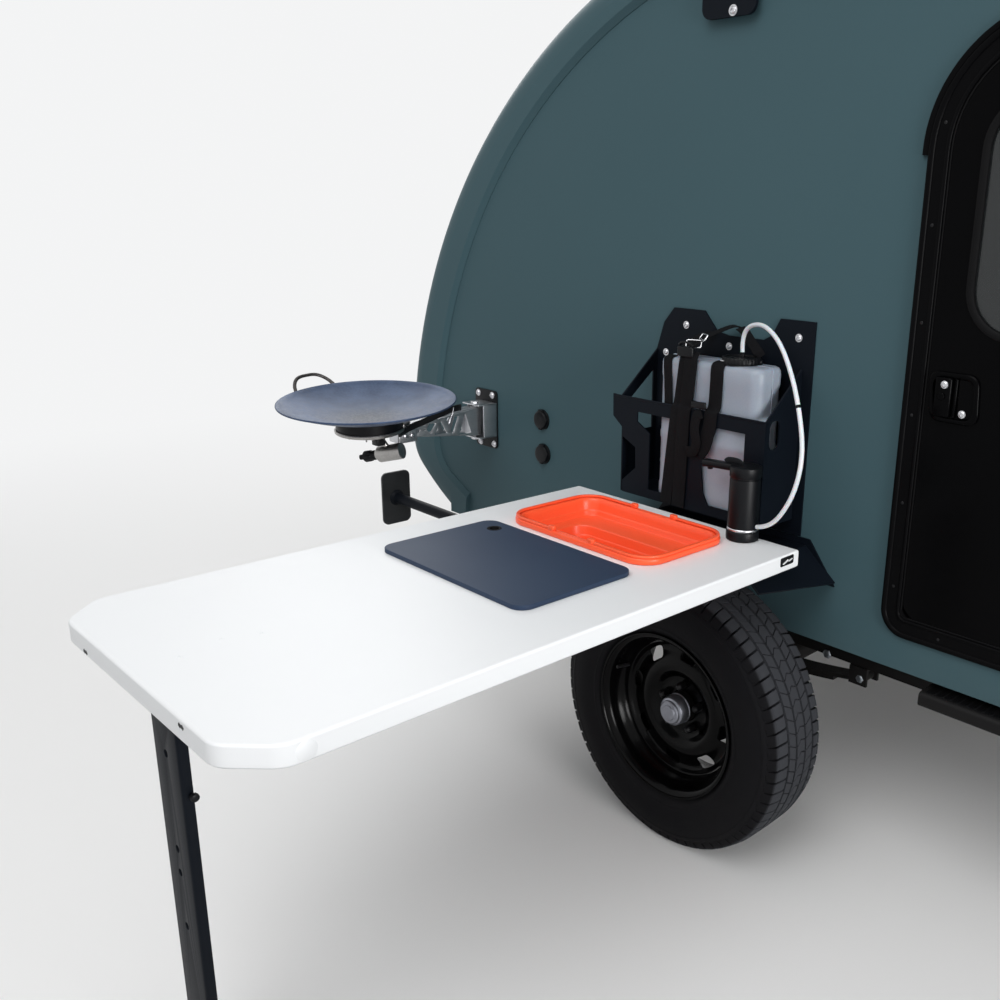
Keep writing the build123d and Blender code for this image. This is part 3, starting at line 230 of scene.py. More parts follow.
# Finishes, one row of values each: colour and second colour; share of the second; broad and fine noise
# per metre; lowest and highest roughness; height of the fine grain in thousandths of a millimetre.
# Some have more: dust is its amount and the heights where it is full and gone.
finishes = {
    "bodyPaint": ((0.048, 0.094, 0.110), (0.055, 0.104, 0.121), 0.6, 1.3, 420, (0.48, 0.58), 50,
                  dict(specular=0.16, dust=(0.05, 0.50, 0.80))),
    "doorGloss": ((0.0012, 0.0012, 0.0015), (0.0020, 0.0020, 0.0023), 0.6, 3, 90, (0.16, 0.24), 10,
                  dict(specular=0.035, dust=(0.003, 0.55, 1.0))),
    "frameBlack": ((0.0014, 0.0014, 0.0018), (0.0026, 0.0026, 0.0030), 0.7, 5, 500, (0.28, 0.40), 30,
                   dict(specular=0.04, dust=(0.004, 0.55, 1.0))),
    "powderBlack": ((0.0028, 0.0045, 0.0078), (0.0048, 0.0068, 0.0105), 0.7, 6, 900, (0.40, 0.56), 70,
                    dict(specular=0.08, dust=(0.015, 0.10, 0.8))),
    "chassisBlack": ((0.0035, 0.0035, 0.0042), (0.0080, 0.0076, 0.0073), 0.8, 9, 300, (0.45, 0.65), 120,
                     dict(specular=0.15, dust=(0.05, 0.20, 0.60))),
    "tyreRubber": ((0.0026, 0.0026, 0.0036), (0.0050, 0.0050, 0.0062), 0.8, 8, 260, (0.60, 0.78), 100,
                   dict(specular=0.10, dust=(0.012, 0.0, 0.7))),
    "wheelBlack": ((0.0008, 0.0008, 0.0010), (0.0016, 0.0016, 0.0019), 0.7, 10, 200, (0.14, 0.24), 20,
                   dict(specular=0.10, dust=(0.003, 0.1, 0.6))),
    "hubSilver": ((0.30, 0.31, 0.35), (0.21, 0.215, 0.24), 0.8, 30, 600, (0.34, 0.48), 30,
                  dict(metallic=0.9)),
    "zincSteel": ((0.34, 0.37, 0.40), (0.22, 0.24, 0.26), 0.9, 18, 300, (0.34, 0.52), 30,
                  dict(metallic=1.0)),
    "boltBright": ((0.66, 0.66, 0.68), (0.48, 0.48, 0.50), 0.8, 60, 900, (0.22, 0.36), 20,
                   dict(metallic=1.0)),
    "boltBlack": ((0.006, 0.006, 0.007), (0.012, 0.012, 0.013), 0.6, 60, 900, (0.35, 0.5), 30,
                  dict(metallic=0.3, specular=0.3)),
    "tableWhite": ((0.86, 0.875, 0.89), (0.82, 0.835, 0.85), 0.6, 3, 1400, (0.38, 0.50), 50,
                   dict(specular=0.35)),
    "tubOrange": ((1.0, 0.105, 0.032), (0.97, 0.125, 0.044), 0.7, 8, 500, (0.26, 0.38), 30,
                  dict(specular=0.4)),
    "boardSlate": ((0.018, 0.033, 0.068), (0.028, 0.047, 0.086), 0.9, 5, 700, (0.44, 0.58), 60,
                   dict(specular=0.2)),
    "tankPlastic": ((0.27, 0.31, 0.375), (0.33, 0.37, 0.43), 0.8, 6, 420, (0.32, 0.45), 50,
                    dict(subsurface=0.15)),
    # moulded black plastic, also used as painted shade inside the table's slots
    "mouldedBlackAndSlotShade": ((0.0030, 0.0034, 0.0045), (0.0055, 0.0060, 0.0072), 0.7, 12, 1100, (0.32, 0.46), 50,
                     dict(specular=0.16)),
    "sealRubber": ((0.0015, 0.0015, 0.0018), (0.0035, 0.0035, 0.0040), 0.7, 12, 500, (0.5, 0.7), 60,
                   dict(specular=0.10)),
    "hoseMilk": ((0.66, 0.70, 0.74), (0.74, 0.77, 0.80), 0.7, 20, 300, (0.18, 0.30), 20,
                 dict(subsurface=0.25)),
    "armAluminium": ((0.46, 0.47, 0.49), (0.60, 0.61, 0.63), 0.9, 9, 160, (0.30, 0.46), 40,
                     dict(metallic=1.0, stretch=(3, 0.35, 3))),
    "burnerSteel": ((0.30, 0.29, 0.28), (0.46, 0.45, 0.44), 0.9, 14, 220, (0.26, 0.45), 30,
                    dict(metallic=1.0)),
    "panSteel": ((0.022, 0.040, 0.085), (0.070, 0.105, 0.185), 1.0, 14, 130, (0.38, 0.58), 120,
                 dict(metallic=0.40, specular=0.25)),
    "footSteel": ((0.024, 0.026, 0.028), (0.040, 0.042, 0.044), 0.8, 20, 400, (0.40, 0.55), 60,
                  dict(metallic=0.2, specular=0.3)),
    "darkSteel": ((0.045, 0.042, 0.042), (0.10, 0.092, 0.088), 1.0, 40, 300, (0.35, 0.5), 50,
                  dict(metallic=0.8)),
    "birchWood": ((0.56, 0.40, 0.24), (0.40, 0.26, 0.14), 0.9, 3, 60, (0.42, 0.60), 100,
                  dict(stretch=(1, 1, 9))),
    "floorBoard": ((0.075, 0.060, 0.045), (0.045, 0.037, 0.030), 0.9, 4, 90, (0.55, 0.75), 150,
                   dict(stretch=(1, 6, 1), dust=(0.4, 0.5, 0.6))),
    "plateWhite": ((0.80, 0.80, 0.78), (0.72, 0.72, 0.70), 0.6, 12, 500, (0.25, 0.38), 20),
    "ventWhite": ((0.62, 0.62, 0.59), (0.56, 0.55, 0.52), 0.7, 7, 260, (0.22, 0.36), 30,
                  dict(subsurface=0.1)),
    "brassValve": ((0.50, 0.36, 0.14), (0.36, 0.26, 0.11), 0.8, 30, 500, (0.28, 0.42), 30,
                   dict(metallic=1.0)),
    # dark tinted window and red lamp lens keep plain transmission
    "windowGlass": ((0.10, 0.115, 0.12), (0.08, 0.092, 0.096), 0.5, 3, 60, (0.03, 0.06), 5,
                    dict(clear=0.85, index=1.45)),
    "lampRed": ((0.55, 0.012, 0.010), (0.44, 0.0096, 0.008), 0.5, 3, 60, (0.12, 0.15), 5,
                dict(clear=0.35, index=1.45)),
}
ownSockets = dict(metallic="Metallic", specular="Specular IOR Level", subsurface="Subsurface Weight",
                  clear="Transmission Weight", index="IOR", sheen="Sheen Weight")
dustRough, glowDepth = 0.35, 0.01  # roughness that dust adds; how far light goes into milky plastic
made = {}


# coat gives the shader its colour, roughness and a bump of that height, and the plain numbers it has
def coat(material, colour, rough, height, thousandths, more):
    tree, paint = material.node_tree, material.node_tree.nodes["Principled BSDF"]
    bump = addNode(tree, "Bump", {"Distance": thousandths * 1e-6, "Height": height})[0]
    feed(tree, paint, {"Base Color": colour, "Roughness": rough, "Normal": bump})
    feed(tree, paint, {ownSockets[key]: value for key, value in more.items() if key in ownSockets})
    if "subsurface" in more:
        paint.inputs["Subsurface Scale"].default_value = glowDepth
    made[material.name] = material


# makeFinish: tone gives colour and grain, dust lies over it where a row has some
def makeFinish(name, colour, second, amount, broad, fine, rough, grain, more={}):
    material, tree, _ = newMaterial(name)
    where = addNode(tree, "TexCoord")["Object"]
    toned = addNode(tree, "Group", {
        "Vector": where, "Colour": (*colour, 1), "Second": (*second, 1), "Broad": broad, "Fine": fine,
        "Stretch": more.get("stretch", (1, 1, 1)), "Amount": amount}, node_tree=tone)
    top, dull = toned["Colour"], addRange(tree, toned["Value"], 0.3, 0.7, *rough)
    if "dust" in more:
        amount, low, high = more["dust"]
        dusty = addNode(tree, "Group", {"Vector": where, "Colour": top, "Low": low, "High": high,
                                        "Amount": amount}, node_tree=dust)
        top = dusty["Colour"]
        dull = addMath(tree, "ADD", dull, addMath(tree, "MULTIPLY", dusty["Mask"], dustRough))
    coat(material, top, dull, toned["Value"], grain, more)


# woven cloth: threads on the piece's UV raise the surface, and a painted highlight lightens the colour on their
# raised crowns
def makeCloth(name, colour, second, across, along, depth, sheen):
    material, tree, _ = newMaterial(name)
    where = addNode(tree, "TexCoord")
    threads = addNode(tree, "Group", {"Vector": where["UV"], "Across": across, "Along": along},
                      node_tree=weave)["Height"]
    toned = addNode(tree, "Group", {
        "Vector": where["Object"], "Colour": (*colour, 1), "Second": (*second, 1), "Broad": 6.0,
        "Fine": 180.0, "Amount": 0.8}, node_tree=tone)
    # painted highlight: where the threads stand high the colour is lightened towards the second colour
    paintedThreadHighlight = addMix(tree, addRange(tree, threads, 0.0, 1.0, 0.0, 0.35), toned["Colour"], (*second, 1))
    coat(material, paintedThreadHighlight, addRange(tree, toned["Value"], 0.3, 0.7, 0.7, 0.9), threads, depth,
         dict(sheen=sheen, specular=0.12))


for finishName, finishValues in finishes.items():
    makeFinish(finishName, *finishValues)
makeCloth("strapWeb", (0.0016, 0.0016, 0.0022), (0.0050, 0.0050, 0.0062), 300.0, 420.0, 300, 0.0)
makeCloth("mattressCloth", (0.36, 0.365, 0.37), (0.46, 0.465, 0.47), 2600.0, 2600.0, 400, 0.15)


# overlay mixes a colour over a finish, as far as the mask says
def overlay(tree, mask, colour):
    base = tree.nodes["Principled BSDF"].inputs["Base Color"]
    tree.links.new(addMix(tree, mask, base.links[0].from_socket, (*colour, 1)), base)


# the tread is worn pale with dust: a mask from the distance to the axle mixes grey over the rubber
treadValues = dict(colour=(0.042, 0.044, 0.050), low=0.3340, high=0.3385, most=0.85)
rubber = made["tyreRubber"].node_tree
fromAxle = addNode(rubber, "VectorMath", {0: rubber.nodes["Texture Coordinate"].outputs["Object"],
                                          1: tuple(wheelCentre * mm + place)}, operation="SUBTRACT")[0]
flatWay = addNode(rubber, "VectorMath", {0: fromAxle, 1: (1, 0, 1)}, operation="MULTIPLY")[0]
reach = addNode(rubber, "VectorMath", {0: flatWay}, operation="LENGTH")["Value"]
overlay(rubber, addRange(rubber, reach, treadValues["low"], treadValues["high"], 0.0, treadValues["most"]),
        treadValues["colour"])
print("materials are ready:", len(made))


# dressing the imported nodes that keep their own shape; a star stands for right and left
dress = {
    "bodyPaint": "body_shell side_wall_* rear_hatch",
    "doorGloss": "door_*",
    "frameBlack": "door_frame_* hatch_hinges roof_vent_base hatch_handle",
    "powderBlack": "roof_rack_bars roof_rack_feet fenders table_leg leg_hinge tank_holder",
    "chassisBlack": "chassis_rails cross_members tongue_tubes coupler jack_housing side_steps axle_beam "
                    "leaf_springs spring_hangers stabiliser_mounts",
    "zincSteel": "jack_leg stabiliser_leg_*",
    "wheelBlack": "wheel_* wheel_hub_*",
    "tyreRubber": "tyre_*",
    "tableWhite": "table_top",
    "tubOrange": "sink_tub",
    "boardSlate": "cutting_board",
    "mouldedBlackAndSlotShade": "door_latch_* power_sockets tap_pump",
    "tankPlastic": "water_tank",
    "strapWeb": "tank_straps",
    "hoseMilk": "water_hose",
    "armAluminium": "stove_arm stove_bracket",
    "burnerSteel": "burner",
    "panSteel": "griddle_pan",
    "birchWood": "bulkhead galley_counter",
    "floorBoard": "floor_pan",
    "mattressCloth": "mattress",
    "plateWhite": "number_plate",
    "ventWhite": "roof_vent_lid",
    "windowGlass": "door_window_*",
    "lampRed": "tail_lights",
}
for finish, names in dress.items():
    for name in names.split():
        for side in ("right", "left") if name.endswith("*") else ("",):
            nodes[name.replace("*", side)].material_slots[0].material = made[finish]
print("packed nodes have their finishes")


# Shapes from numpy. Each gives (points, faces); putPiece turns a list of them into one object.
# gridFaces: quads between neighbouring points of a rows by columns grid, wrapping round where asked
def gridFaces(rows, columns, closeRows=False, closeColumns=True):
    i = np.arange(rows if closeRows else rows - 1)[:, None]
    j = np.arange(columns if closeColumns else columns - 1)[None, :]
    a, b = i * columns + j, i * columns + (j + 1) % columns
    c, d = ((i + 1) % rows) * columns + (j + 1) % columns, ((i + 1) % rows) * columns + j
    return np.stack(np.broadcast_arrays(a, b, c, d), -1).reshape(-1, 4)


# moved: the points turned by a matrix, then shifted
def moved(part, turn=None, shift=(0, 0, 0)):
    points = np.asarray(part[0], float)
    return (points if turn is None else points @ np.array(turn).T) + shift, part[1]


# spin: points (radius, distance along the axis) carried round an axis in equal steps; where a row is
# marked as ribbed, every other pair of steps lies deeper
def spin(profile, start, way=(0, 0, 1), steps=32, ribbed=None, depth=0.0):
    r, h = np.asarray(profile, float).T
    t = np.arange(steps) * 2 * np.pi / steps
    radius = np.repeat(r[:, None], steps, 1)
    if ribbed:
        radius -= np.tile((0, 0, 1, 1), steps // 4) * depth * np.array(ribbed)[:, None]
    height = np.broadcast_to(h[:, None], radius.shape)
    points = np.stack([radius * np.cos(t), radius * np.sin(t), height], -1)
    turn = Vector(way).to_track_quat("Z", "Y").to_matrix()
    return moved((points.reshape(-1, 3), gridFaces(len(r), steps)), turn, start)


# smoothPath: a Catmull-Rom curve, each span blending its four neighbours by cubic weights
def smoothPath(points, count=60):
    p = np.asarray(points, float)
    p = np.vstack([2 * p[0] - p[1], p, 2 * p[-1] - p[-2]])
    u = np.linspace(0, len(p) - 3, count)
    k = np.minimum(u.astype(int), len(p) - 4)
    f = (u - k)[:, None]
    a, b, c, d = p[k], p[k + 1], p[k + 2], p[k + 3]
    return 0.5 * (2 * b + (c - a) * f + (2 * a - 5 * b + 4 * c - d) * f ** 2
                  + (3 * b - a - 3 * c + d) * f ** 3)


# sweep: a section (n x 2) carried along a path, its first axis square to path and reference, its second
# on the reference's side; open ends close by one more section shrunk to its middle
def sweep(path, section, reference=(0, 0, 1), closed=False):
    path, section = np.asarray(path, float), np.asarray(section, float)
    tangent = np.roll(path, -1, 0) - np.roll(path, 1, 0) if closed else np.gradient(path, axis=0)
    tangent = tangent / np.linalg.norm(tangent, axis=1)[:, None]
    across = np.cross(tangent, np.asarray(reference, float))
    across /= np.linalg.norm(across, axis=1)[:, None]
    upright = np.cross(across, tangent)
    scale = np.ones(len(path))
    if not closed:
        order = np.r_[0, np.arange(len(path)), len(path) - 1]
        path, across, upright = path[order], across[order], upright[order]
        scale = np.r_[0, scale, 0]
    points = (path[:, None] + scale[:, None, None] * (across[:, None] * section[None, :, :1]
                                                      + upright[:, None] * section[None, :, 1:]))
    return points.reshape(-1, 3), gridFaces(len(path), len(section), closed)


# circle: cosine and sine of equal angles, times the radius
def circle(radius, steps=24, middle=(0, 0)):
    t = np.arange(steps) * 2 * np.pi / steps
    return np.c_[middle[0] + radius * np.cos(t), middle[1] + radius * np.sin(t)]


# roundedLoop: quarter circles about the four inset corners, always with the same number of points
def roundedLoop(x, y, radius, steps=8):
    corners = np.array(((x[1], y[1]), (x[0], y[1]), (x[0], y[0]), (x[1], y[0])))
    inward = np.array(((-1, -1), (1, -1), (1, 1), (-1, 1))) * radius
    angle = (np.linspace(0, np.pi / 2, steps)[None] + np.arange(4)[:, None] * np.pi / 2)[..., None]
    arcs = np.concatenate([np.cos(angle), np.sin(angle)], -1) * radius
    return ((corners + inward)[:, None] + arcs).reshape(-1, 2)


# flatSection: a rounded rectangle about zero, for sweeping
def flatSection(width, height, radius, steps=4):
    return roundedLoop((-width / 2, width / 2), (-height / 2, height / 2), radius, steps)


# inset: a rounded loop drawn in by a distance
def inset(x, y, radius, by, steps=8):
    return roundedLoop((x[0] + by, x[1] - by), (y[0] + by, y[1] - by), max(radius - by, 4), steps)


# softCorners: each corner of a polygon gives way to a quadratic curve from one side to the other
def softCorners(points, radius, steps=6):
    p = np.asarray(points, float)
    before, after = np.roll(p, 1, 0) - p, np.roll(p, -1, 0) - p
    reachIn, reachOut = (np.linalg.norm(v, axis=1)[:, None] for v in (before, after))
    cut = np.minimum(np.broadcast_to(radius, len(p))[:, None], 0.49 * np.minimum(reachIn, reachOut))
    start, end = p + before / reachIn * cut, p + after / reachOut * cut
    t = np.linspace(0, 1, steps)[None, :, None]
    curves = (1 - t) ** 2 * start[:, None] + 2 * t * (1 - t) * p[:, None] + t ** 2 * end[:, None]
    return curves.reshape(-1, 2)


# inPlane: (u, v, w) put where the plane's name says, w square to it
def inPlane(u, v, w, plane):
    return np.stack({"XY": (u, v, w), "XZ": (u, w, v), "YZ": (w, u, v)}[plane], -1)


# loft: loops of equal count, each at its level, joined one after the other; a cap is one more loop
# shrunk to its middle
def loft(loops, levels, capFirst=True, plane="XY"):
    rows = [np.c_[loop, np.full(len(loop), level)] for loop, level in zip(loops, levels)]
    caps = [np.repeat(row.mean(0)[None], len(row), 0) for row in (rows[0], rows[-1])]
    rows = np.array([*caps[:capFirst], *rows, caps[1]])
    return inPlane(*rows.reshape(-1, 3).T, plane), gridFaces(len(rows), rows.shape[1])


# raised: a rounded loop drawn in step by step, given as rows (drawn in by, level)
def raised(x, y, radius, rows, steps=8, capFirst=True, plane="XY"):
    return loft([inset(x, y, radius, by, steps) for by, _ in rows], [level for _, level in rows],
                capFirst, plane)


# softBox: a box with all its edges rounded, its two ends drawn in along quarter circles
def softBox(x, y, z, radius):
    t = np.linspace(0, np.pi / 2, 4)
    by, level = radius * (1 - np.sin(t)), radius * (1 - np.cos(t))
    rows = np.c_[np.r_[by, by[::-1]], np.r_[z[0] + level, z[1] - level[::-1]]]
    return raised(x, y, radius * 1.6, rows, 5)


# flatPlate: a plate with a rounded rim, the first loop its outside and the rest holes;
# plane says which axes the loops lie in, level where the middle of the thickness lies
def flatPlate(loops, thickness, plane, level, edge=0.8):
    curve = bpy.data.curves.new("plate", "CURVE")
    curve.dimensions, curve.fill_mode = "2D", "BOTH"
    curve.extrude, curve.bevel_depth = max(thickness / 2 - edge, 0.0) * mm, edge * mm
    curve.bevel_resolution, curve.offset = 2, -edge * mm
    for loop in loops:
        spline = curve.splines.new("POLY")
        spline.points.add(len(loop) - 1)
        spline.points.foreach_set("co", np.c_[loop * mm, np.zeros(len(loop)), np.ones(len(loop))].ravel())
        spline.use_cyclic_u = True
    points, faces = meshOfCurve(curve)
    return inPlane(*(points + (0, 0, level)).T, plane), faces


# meshOfCurve: the points, in millimetres, and faces of a curve, which is then removed
def meshOfCurve(curve):
    holder = bpy.data.objects.new("holder", curve)
    mesh = bpy.data.meshes.new_from_object(holder)
    flat = np.zeros(len(mesh.vertices) * 3)
    mesh.vertices.foreach_get("co", flat)
    faces = [tuple(polygon.vertices) for polygon in mesh.polygons]
    bpy.data.objects.remove(holder)
    bpy.data.curves.remove(curve)
    bpy.data.meshes.remove(mesh)
    return flat.reshape(-1, 3) / mm, faces


# sheetBox: a thin plate between two corners, whichever side is the thin one
def sheetBox(x, y, z):
    spans = np.array((x, y, z), float)
    thin = int(np.argmin(spans[:, 1] - spans[:, 0]))
    plane, (u, v) = {0: ("YZ", (1, 2)), 1: ("XZ", (0, 2)), 2: ("XY", (0, 1))}[thin]
    return flatPlate([roundedLoop(spans[u], spans[v], 2.5, 4)], np.ptp(spans[thin]), plane,
                     spans[thin].mean())


# screw: a round head turned about its own axis, with a socket in it and a washer under it if asked
def screw(centre, way, radius, head=0.55, washer=0.0):
    profile = [(0, 0.3 * head), (0.4, 0.3 * head), (0.48, head), (0.78, 0.92 * head), (1.0, 0.5 * head),
               (1.0, 0)]
    if washer:
        profile += [(washer, 0), (washer, -0.2), (0.9, -0.2)]
    lift = (0, 0.2 if washer else 0)
    return spin((np.array(profile + [(0.9, -0.5), (0, -0.5)]) + lift) * radius, centre, way, 20)


# nut: a six-sided body with a domed end, on the axis given
def nut(centre, way, radius, height):
    profile = np.array(((0, 1), (0.5, 1), (0.9, 0.86), (1, 0.7), (1, 0), (0, 0)))
    return spin(profile * (radius, height), centre, way, 6)


# putPiece joins the parts into one mesh in the imported frame, riding on a body, with a finish; the slot name it
# is given is not used
def putPiece(name, parts, finish, slotName, replaces=(), body="trailer", sharp=38, join=True, uv=None,
             facing=None):
    points, faces, count = [], [], 0
    for partPoints, partFaces in parts:
        points.append(partPoints)
        faces += [[index + count for index in face] for face in np.array(partFaces, object).tolist()]
        count += len(partPoints)
    mesh = bpy.data.meshes.new(name)
    mesh.from_pydata((np.vstack(points) * mm + place).tolist(), [], faces)
    if uv is not None:
        corner = np.zeros(len(mesh.loops), int)
        mesh.loops.foreach_get("vertex_index", corner)
        mesh.uv_layers.new(name="UVMap").data.foreach_set("uv", np.asarray(uv, float)[corner].ravel())
    shell = bmesh.new()
    shell.from_mesh(mesh)
    if join:
        bmesh.ops.remove_doubles(shell, verts=shell.verts, dist=0.00002)
    bmesh.ops.dissolve_degenerate(shell, edges=shell.edges, dist=0.000005)
    bmesh.ops.recalc_face_normals(shell, faces=shell.faces)
    # an open sheet faces the way it is seen from
    if facing and sum(f.calc_area() * f.normal.dot(Vector(facing)) for f in shell.faces) < 0:
        bmesh.ops.reverse_faces(shell, faces=shell.faces)
    shell.to_mesh(mesh)
    shell.free()
    mesh.shade_smooth()
    mesh.set_sharp_from_angle(angle=math.radians(sharp))
    mesh.materials.append(made[finish])
    piece = addObject(name, mesh)
    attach(piece, body)
    if replaces:
        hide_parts(*replaces)
    return piece


# putBoth: the right piece as drawn, the left one mirrored in the trailer's middle plane
def putBoth(name, parts, finish, slotName, replaces=(), body="trailer", **more):
    pieces = []
    for side, flip in (("Right", 1), ("Left", -1)):
        ending = "_" + side.lower()
        pieces.append(putPiece(name + side, [(points * (1, flip, 1), faces) for points, faces in parts], finish,
                               slotName, [node + ending for node in replaces],
                               body if body == "trailer" else body + ending, **more))
    return pieces


# evenShade: large flat faces keep their own normal, and the rounded edges blend into them
def evenShade(piece):
    even = piece.modifiers.new("even", "WEIGHTED_NORMAL")
    even.keep_sharp, even.weight = True, 90


# addWall: a wall's thickness, then rounded by subdivision where asked
def addWall(piece, thickness, offset=-1.0, smooth=0):
    wall = piece.modifiers.new("wall", "SOLIDIFY")
    wall.thickness, wall.offset, wall.use_even_offset = thickness * mm, offset, True
    if smooth:
        soft = piece.modifiers.new("smooth", "SUBSURF")
        soft.levels = soft.render_levels = smooth


# Tyres: one closed section turned about the axle. Four grooves run round it, and slanted sipes and
# shoulder grooves cross it, each a dip of the surface at the rows and columns of its own place.
tyreValues = dict(
    pitches=70, grooves=((13.5, 20.5), (42.5, 50.0)), slope=1.1, grooveDepth=7.5, sipeDepth=4.5, lugDepth=6.5,
    slants=(0.22, -0.35, 0.10), rowShares=(0.0, 0.025, 0.085, 0.11, 0.17, 0.195, 0.60), shifts=(0.5, 0.28),
    crown=344.0, crownDrop=(57.0, 79.0, 6.0), crownBow=0.0003,
    side=((338, 79), (334.5, 82), (329, 85.3), (319, 89.2), (313, 91.2), (311.5, 92.7), (305, 94.6),
          (303.5, 94.2), (290, 98.0), (276, 100.4), (262, 100.6), (247, 98.8), (236, 96.2), (231, 95.3),
          (228, 96.3), (221, 94.2), (217, 90.2), (213, 86.8), (208.5, 83.4), (202, 79.2), (197, 76.0)),
    inside=((197, 68), (214, 76), (245, 90), (285, 90), (318, 76), (331, 55)))


# the section's radius and distance across are turned to each row's angle, less the depth of the dips there
def makeTyre(v):
    (g1, g2), (g3, g4) = v["grooves"]
    w = v["slope"]
    # columns over half the tread, as (distance from the middle, in a groove or not, which rib)
    half = np.array([(0, 0, 0), (g1 - w, 0, 0), (g1, 0, 0), (g1 + w, 1, 0), (g2 - w, 1, 1), (g2, 0, 1),
                     (g2 + w, 0, 1), ((g2 + g3) / 2, 0, 1), (g3 - w, 0, 1), (g3, 0, 1), (g3 + w, 1, 1),
                     (g4 - w, 1, 2), (g4, 0, 2), (g4 + w, 0, 2), (57, 0, 2), (68, 0, 2), (75, 0, 2)])
    y = half[:, 0]
    start, end, drop = v["crownDrop"]
    r = v["crown"] - drop * np.clip((y - start) / (end - start), 0, 1) ** 1.6 - v["crownBow"] * y ** 2
    wall = np.array(v["side"] + v["inside"])
    radius, across = np.r_[r, wall[:, 0]], np.r_[y, wall[:, 1]]
    groove, rib = np.r_[half[:, 1], np.zeros(len(wall))], np.r_[half[:, 2], np.full(len(wall), 3)]
    rib[len(half):len(half) + 4] = 2
    # mirror the half section to the other side, inner surface closing through the middle
    count = len(radius)
    order = np.r_[np.arange(count - 1, 0, -1), np.arange(count)]
    sign = np.r_[-np.ones(count - 1), np.ones(count)]
    radius, across, groove, rib = radius[order], across[order] * sign, groove[order], rib[order]
    pitch = 2 * np.pi / v["pitches"]
    rows = (np.arange(v["pitches"])[:, None] + np.array(v["rowShares"])[None]).ravel() * pitch
    local = np.tile(np.arange(len(v["rowShares"])), v["pitches"])
    slant = np.select([rib == 0, rib == 1, rib == 2], v["slants"], 0.0) * across * sign / 20
    # each second rib is half a pitch on, and the other half of the tread is turned a little too
    phase = np.where(rib == 1, v["shifts"][0], 0.0) + np.where(sign < 0, v["shifts"][1], 0.0)
    theta = rows[:, None] + (np.where(rib < 3, phase + slant, 0.0) * pitch)[None]
    fine = np.isin(local, (1, 2))[:, None] & np.isin(rib, (0, 1))[None]
    wide = np.isin(local, (1, 2, 3, 4))[:, None] & (rib == 2)[None]
    depth = np.maximum(groove * v["grooveDepth"],
                       np.where(fine, v["sipeDepth"], np.where(wide, v["lugDepth"], 0.0)))
    # past the tread's edge the shoulder grooves run out into the side wall
    shoulder = np.abs(across) > 79.5
    depth = depth * np.where(shoulder, np.clip((radius - 314) / 20, 0, 1), 1.0)
    out = radius[None] - depth * np.where(shoulder, 0.55, 1.0)
    sideways = across[None] - np.sign(across) * depth * np.where(shoulder, 0.8, 0.0)
    points = np.stack([out * np.sin(theta), sideways, out * np.cos(theta)], -1)
    return points.reshape(-1, 3) + wheelCentre, gridFaces(len(rows), len(across), True)


putBoth("tyre", [makeTyre(tyreValues)], "tyreRubber", "tyre_rubber", ("tyre",), "wheel", sharp=30)

# Wheels: the rim is a closed section turned about the axle; the disc is a dished sheet with windows
# left out of its grid, rounded by subdivision. Distances are (radius, outboard of the middle).
wheelValues = dict(
    rim=((209, 92), (207.5, 91.2), (209.0, 84), (205, 83), (196, 76), (194.5, 66), (194, 60), (184, 48),
         (177, 38), (177, -40), (192, -62), (194, -74), (206, -83), (209, -84), (209, -92), (203, -91.5),
         (197, -88), (190, -78), (188, -64), (172, -42), (171.5, 34), (179, 43), (187, 55), (189, 64),
         (189.5, 74), (193, 82), (200, 88), (203.5, 89), (204.5, 91.3), (209, 92)),
    disc=((173.5, 30), (170, 27), (166, 20), (160, 14.5), (150, 14), (140, 18), (130, 23.5), (120, 27.5),
          (110, 28.5), (101, 27.5), (93, 24), (86, 17), (80, 11), (72, 8.5), (60, 8.3), (46, 8.3), (38.5, 8.3)),
    discSteps=64, windowRings=(3, 6), windowEvery=8, windowSteps=3, thickness=4.2,
    lugCircle=57.0, lugCount=5, stem=((-160, -40, 66), (-163, -62, 68), (-166, -78, 69)),
    cap=((0, 66.5), (17, 66.5), (18.5, 65.5), (19.5, 64.2), (26.5, 64.2), (29, 62), (30, 58), (34.5, 55.5),
         (36.5, 52), (37.2, 40), (37.2, 30), (38.2, 29), (38.2, 24), (0, 24)),
    drum=((17.6, -126), (119, -126), (119, -118), (116, -117), (116, -84), (119, -83), (119, -66), (112, -64),
          (72, -63), (66, -60), (62, -8), (62, 5.5), (38.4, 5.5), (38.4, 26), (17.6, 26), (17.6, -126)))


# one of the wheel's profiles turned about the axle
def outboard(part, steps):
    return spin(wheelValues[part], wheelCentre, (0, -1, 0), steps)


putBoth("rimBarrel", [outboard("rim", 112)], "wheelBlack", "wheel_black", ("wheel",), "wheel", sharp=50)
discPoints, discFaces = outboard("disc", wheelValues["discSteps"])
ringIndex, stepIndex = np.divmod(np.arange(len(discFaces)), wheelValues["discSteps"])
firstRing, lastRing = wheelValues["windowRings"]
inWindow = ((ringIndex >= firstRing) & (ringIndex < lastRing) & (
    stepIndex % wheelValues["windowEvery"] >= wheelValues["windowEvery"] - wheelValues["windowSteps"]))
for piece in putBoth("wheelDisc", [(discPoints, discFaces[~inWindow])], "wheelBlack", "wheel_black",
                     body="wheel", sharp=180):
    addWall(piece, wheelValues["thickness"], 0.0, 2)
lugAngles = np.radians(90 + np.arange(wheelValues["lugCount"]) * 360 / wheelValues["lugCount"])
lugs = [nut(wheelCentre + (x, -10.5, z), (0, -1, 0), 10.5, 24)
        for x, z in wheelValues["lugCircle"] * np.c_[np.cos(lugAngles), np.sin(lugAngles)]]
stem = sweep(wheelCentre + wheelValues["stem"], circle(4.2, 12))
putBoth("lugNuts", [*lugs, stem], "boltBlack", "wheel_black", body="wheel")
putBoth("hubCap", [outboard("cap", 64)], "hubSilver", "hub_metal", ("wheel_hub",), "wheel", sharp=28)
putBoth("brakeDrum", [outboard("drum", 72)], "chassisBlack", "hub_metal", body="wheel", sharp=35)
print("wheels and tyres are made")


